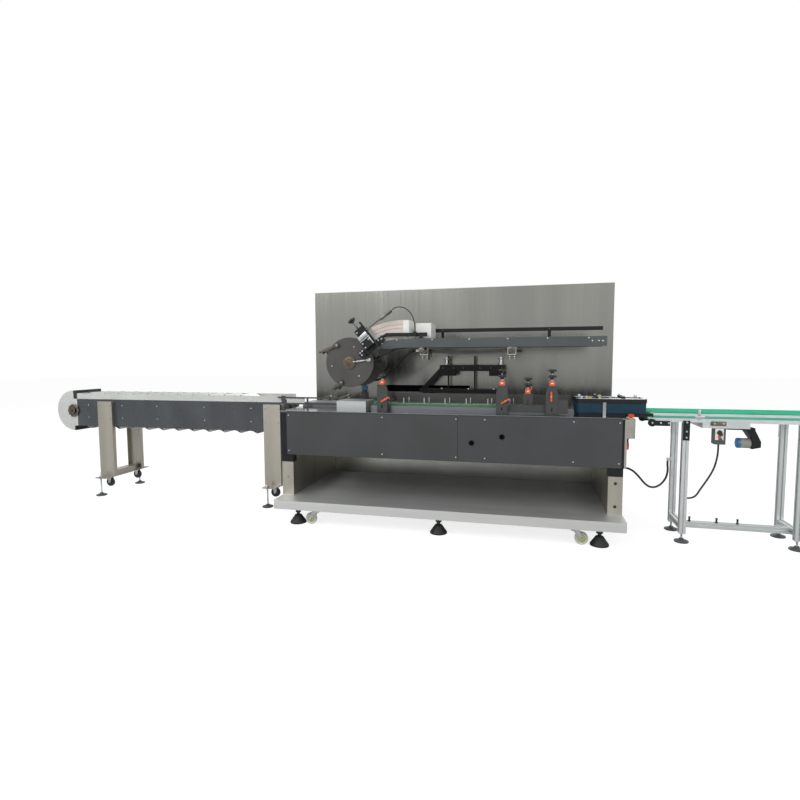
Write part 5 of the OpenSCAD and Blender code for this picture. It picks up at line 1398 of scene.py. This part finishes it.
@dataclass
class Infeed:
    """The flighted infeed conveyor on the left."""

    columns: Row = (-3356, -2988, -2621, -2143, -1693)
    rows: Row = (814, 701)
    plate_screw: float = 11.0
    axis: Row = (-3516, 762)
    bar_x: Row = (-2, 14)
    bar_lap: float = 1.0
    bar_tall: Row = (26, 22)  # upper, lower
    bar_edge: float = 2.0
    corner: Rows = ((10, -1.5, 2), (36, 5, -8))  # from the hub's axis, the guard's front and the tops
    hub_nut: Rows = ((60, -SUNK, 1), (62, 2, 1), (62, 10, 1), (58, 13, 1), (42, 13),
                     (40, 8), (31, 8), (31, 24), (28, 27), (18, 27), (17, 22), (9, 22),
                     (9, 32), (7, 34), (2, 34))
    leg_x: Row = (-3146, -1483)
    leg_w: float = 152.0
    leg_out: float = 36.0
    leg_screw: Row = (8, 16)  # size, distance from the leg's edge
    stem_at: Row = (-25, 89)  # from the leg's middle, out from the side plates
    stem_r: float = 7.0
    stem_pitch: float = 3.0
    stem_foot: float = 26.0
    stem_over: float = 52.0
    post_in: Row = (42, 20)  # left and right legs of the take-off, from the ends of its legs' box
    pad: Rows = ((43, 0), (45, 1.5), (45, 8), (42.5, 10), (17, 18.5), (14, 21), (14, 26),
                 (9, 28))
    nut: Rows = ((13.5, 0, 1), (14.2, 1, 1), (14.2, 9, 1), (13.5, 10, 1))
    nut_z: Row = (-10.2, 8.2)
    wheel_at: Row = (14, 18, 111)  # from the leg's middle, out from the side plates, height
    wheel: Rows = ((17, -11.5), (30, -9), (36, -11), (39, -9), (40, -5), (40, 5), (39, 9),
                   (36, 11), (30, 9), (17, 11.5))
    cheek: Rows = ((-9, -8), (9, -8), (20, 48.5), (-20, 48.5))
    cheek_t: Row = (4, 0.6)  # thickness, edge
    cheek_y: Row = (-13, 17)
    fork_top: Block = ((-22, -17, 43), (22, 17, 48.8), 1)
    wheel_nut: Row = (14, 17)  # size, distance from the wheel's middle

    def build(self) -> None:
        """Dresses the conveyor and adds screws, end strips, the hub nuts and the feet."""
        dress(SLATE_PAINT, "infeed_side_plates")
        dress(FLIGHT_STEEL, "infeed_slats")
        dress(FROSTED, "infeed_guards")
        dress(FRAME_STEEL, "infeed_legs")
        low, high = box("infeed_side_plates")
        self.screws(low[1], high[1])
        self.end(high[2])
        self.feet(low[1], high[1])
        self.casters(low[1], high[1])

    def screws(self, front: float, rear: float) -> None:
        """Screw pairs on both side plates, and four small screws in the upper part of each leg.

        Args:
            front: Depth of the front side plate.
            rear: Depth of the rear side plate.
        """
        size, inset = self.leg_screw
        edges = [x + s * (self.leg_w / 2 - inset) for x in self.leg_x for s in (-1, 1)]
        for kind, xs, out, screw, finish in (
                ("plate", self.columns, 0.0, button_screw(self.plate_screw), ZINC),
                ("leg", edges, self.leg_out, button_screw(size), OILED_STEEL)):
            for name, way, y in both_sides(front - out, rear + out):
                spots = [(x + START[0], y, z) for x in xs for z in self.rows]
                make(f"{kind}_screws_{name}", screw.facing(way).copied(spots), finish)

    def end(self, plate_top: float) -> None:
        """Dark edge bars on the end guard and its hub nuts.

        Args:
            plate_top: Height of the side plates' top.
        """
        low, high = box("infeed_guards")
        x, lap = self.axis[0] + START[0], self.bar_lap
        left, right = (x + step for step in self.bar_x)
        upper, lower = self.bar_tall
        front, rear = low[1] - lap, high[1] + lap
        foot, tip = np.array(self.corner) + ((x, low[1], plate_top), (x, low[1], high[2]))
        bars = (((left, front, high[2] - upper), (right, rear, high[2] + lap)),
                ((left, front, low[2] - lap), (right, rear, low[2] + lower)), (foot, tip))
        make("edge_bars", blocks([(a, b, self.bar_edge) for a, b in bars]), BLACK_PLASTIC)
        nut = lathe(self.hub_nut, lobes(10, 0.12), 80)
        for name, way, y in both_sides(low[1], high[1]):
            make(f"hub_nut_{name}", nut.facing(way).moved((x, y, self.axis[1])), CLAMP_STEEL)

    def feet(self, front: float, rear: float) -> None:
        """Pads on threaded stems with lock nuts, also under the take-off, for the plain feet.

        Args:
            front: Depth of the front side plate.
            rear: Depth of the rear side plate.
        """
        top = box("infeed_legs")[0][2]
        low, high = box("outfeed_legs")
        step, out = self.stem_at
        stems = [(x + step + START[0], y, 0) for x in self.leg_x for y in (front - out, rear + out)]
        first, last = self.post_in
        posts = [(x, y, 0) for x in (low[0] + first, high[0] - last) for y in (low[1] + last, high[1] - last)]
        pad = lathe(self.pad, None, 40)
        make("levelling_pads", pad.copied(stems + posts), PAD_NYLON, replaces=["conveyor_feet"])
        tall, short = (thread(self.stem_r, z - self.stem_foot, self.stem_pitch).moved((0, 0, self.stem_foot))
                       for z in (top + self.stem_over, low[2]))
        make("levelling_stems", tall.copied(stems) + short.copied(posts), ZINC)
        nut = lathe(self.nut, hexagon, 36)
        make("lock_nuts", nut.copied([np.add(p, (0, 0, top + z)) for p in stems for z in self.nut_z]), ZINC)

    def casters(self, front: float, rear: float) -> None:
        """Small wheels in forks under the legs' foot plates.

        Args:
            front: Depth of the front side plate.
            rear: Depth of the rear side plate.
        """
        step, out, z = self.wheel_at
        spots = [(x + step + START[0], y, z) for x in self.leg_x for y in (front - out, rear + out)]
        wheel = lathe(self.wheel, None, 40).facing(Facing.FRONT)
        make("small_wheels", wheel.copied(spots), BLACK_PLASTIC)
        cheek = prism(np.array(self.cheek), *self.cheek_t).facing(Facing.FRONT)
        size, reach = self.wheel_nut
        fork = cheek.copied([(0, y, 0) for y in self.cheek_y]) + slab(*self.fork_top)
        fork = fork + pair(hex_bolt(size), reach)
        make("small_forks", fork.copied(spots), ZINC)


@dataclass
class TakeOff:
    """The belt conveyor on the right."""

    nose_bolts: Rows = ((26, 28), (78, 28), (126, 28))  # from the drive's left end, over the frame's base
    leg_in: Row = (42, 20)  # left and right legs, from the ends of their box
    leg_bolts: Row = (-64, -24, 36)
    bolt_d: float = 13.0
    fins: int = 30
    fin_r: Row = (31.2, 33.4)  # in the grooves, on the fins
    motor_r: float = 28.0
    motor_len: float = 61.0
    motor_at: Row = (1945, 220, 668)
    motor_cap: Rows = ((33.6, -1), (34, 0), (34, 13), (31.5, 17), (24, 19), (4, 19))
    switch_at: Row = (26, 14)  # middle from the box's left end, face behind its front
    switch_lid: Block = ((-25, -5, -75), (25, 1, -1), 2.4)
    knob: Rows = ((15, -1), (15, 2), (12.6, 4, 1), (12.6, 14, 1), (11, 16, 1), (4, 16.4))
    knob_at: Row = (0, -5, -26)
    rocker: Block = ((-9, -9, -64), (9, -4, -46), 2.2)
    hanger_x: Row = (1744, 1830)
    hanger_z: Row = (17, 46)
    hanger: Row = (6, 0.2, 1.5)  # thickness, lap, edge
    hanger_bolt: Row = (12, 18, 32)  # size, distance from the plate's ends, height
    strip_z: Row = (-39, -23)
    strip: Row = (22, 0.9, 0.4)  # distance from the frame's ends, half its thickness, edge
    stand: Rows = ((9, -SUNK), (9, 4), (6, 5), (6, 24), (8, 26), (8, 30), (6, 31))
    stand_x: Row = (1661, 1826, 1951)
    stretcher: Row = (82, 128)  # distance behind the legs' front, height of its top
    bracket_x: float = 1672.0
    bracket: Blocks = (((-8, -4, -46), (8, 0.3, 24), 1.2), ((-28, -6, -32), (34, 0.3, -18), 1.2))

    def build(self) -> None:
        """Dresses the conveyor and adds bolts, motor, switches and the belt's small brackets."""
        dress(BELT_GREEN, "outfeed_belt")
        dress(ANODISED, "outfeed_frame", "outfeed_legs")
        dress(BLACK_PAINT, "outfeed_drive")
        dress(BEAM_PAINT, "outfeed_switch_box")
        self.bolts()
        self.motor()
        self.switches()
        self.brackets()

    def bolts(self) -> None:
        """Bolts on the nose plates and the leg plates, front and rear."""
        drive = box("outfeed_drive")
        legs = box("outfeed_legs")
        base = box("outfeed_frame")[0][2]
        spots = [(drive[0][0] + x, base + z) for x, z in self.nose_bolts]
        spots += [(x, base + z) for x in (legs[0][0] + self.leg_in[0], legs[1][0] - self.leg_in[1])
                  for z in self.leg_bolts]
        for name, way, y in both_sides(drive[0][1], drive[1][1]):
            bolts = cap_screw(self.bolt_d).facing(way).copied([(x, y, z) for x, z in spots])
            make(f"drive_bolts_{name}", bolts, ZINC)

    def motor(self) -> None:
        """A finned motor shell, every third row a groove, with a coloured cap at its left end."""
        radius = np.where(np.arange(self.fins) % 3 == 0, *self.fin_r)
        length = np.linspace(1.0, self.motor_len - 1.0, self.fins)
        rows = [(self.motor_r, 0.0), *zip(radius.tolist(), length.tolist()), (self.motor_r, self.motor_len)]
        spot = at(*self.motor_at)
        make("motor_shell", lathe(rows, None, 48).facing(Facing.RIGHT).moved(spot), PALE_PAINT)
        make("motor_cap", lathe(self.motor_cap, None, 48).facing(Facing.LEFT).moved(spot), BLUE)

    def switches(self) -> None:
        """A pale face with a turn knob and a rocker on the switch box, and its hanger plate."""
        low, high = box("outfeed_switch_box")
        face = np.array([low[0] + self.switch_at[0], low[1] + self.switch_at[1], high[2]])
        make("switch_lid", slab(*self.switch_lid).moved(face), WHITE)
        knob = lathe(self.knob, lobes(18, 0.06), 72).facing(Facing.FRONT)
        make("speed_knob", knob.moved(face + self.knob_at), BLACK_PLASTIC)
        make("rocker_switch", slab(*self.rocker).moved(face), RED)
        side = box("outfeed_frame")[0][1]
        left, right = (x + START[0] for x in self.hanger_x)
        base, top = (high[2] + z for z in self.hanger_z)
        thick, lap, edge = self.hanger
        make("hanger_plate", slab((left, side - thick, base), (right, side + lap, top), edge), CLAMP_STEEL)
        size, inset, rise = self.hanger_bolt
        heads = [(x, side - thick, high[2] + rise) for x in (left + inset, right - inset)]
        make("hanger_bolts", cap_screw(size).facing(Facing.FRONT).copied(heads), ZINC)

    def brackets(self) -> None:
        """Green strips of the belt's return run, short stands on the stretcher and a folded guide bracket."""
        low, high = box("outfeed_frame")
        base, top = (box("outfeed_belt")[1][2] + z for z in self.strip_z)
        inset, half, edge = self.strip
        strips = [((low[0] + inset, y - half, base), (high[0] - inset, y + half, top), edge)
                  for y in (low[1], high[1])]
        make("return_strips", blocks(strips), BELT_RETURN)
        depth, z = self.stretcher
        spots = [(x + START[0], box("outfeed_legs")[0][1] + depth, z) for x in self.stand_x]
        make("stretcher_stands", lathe(self.stand, None, 24).copied(spots), BLACK_PLASTIC)
        place = (self.bracket_x + START[0], low[1], high[2])
        make("guide_bracket", blocks(self.bracket).moved(place), ZINC)


def main() -> None:
    """Builds the studio, the cords and then each sub-assembly."""
    logging.basicConfig(level=logging.INFO, format="%(message)s")
    Studio().build()
    for cord in CORDS:
        cord.build()
    for assembly in (BaseUnit(), Housing(), Cabinet(), CartonConveyor(), Magazine(), Feeder(), Discharge(),
                     Infeed(), TakeOff()):
        assembly.build()


if __name__ == "__main__":
    main()
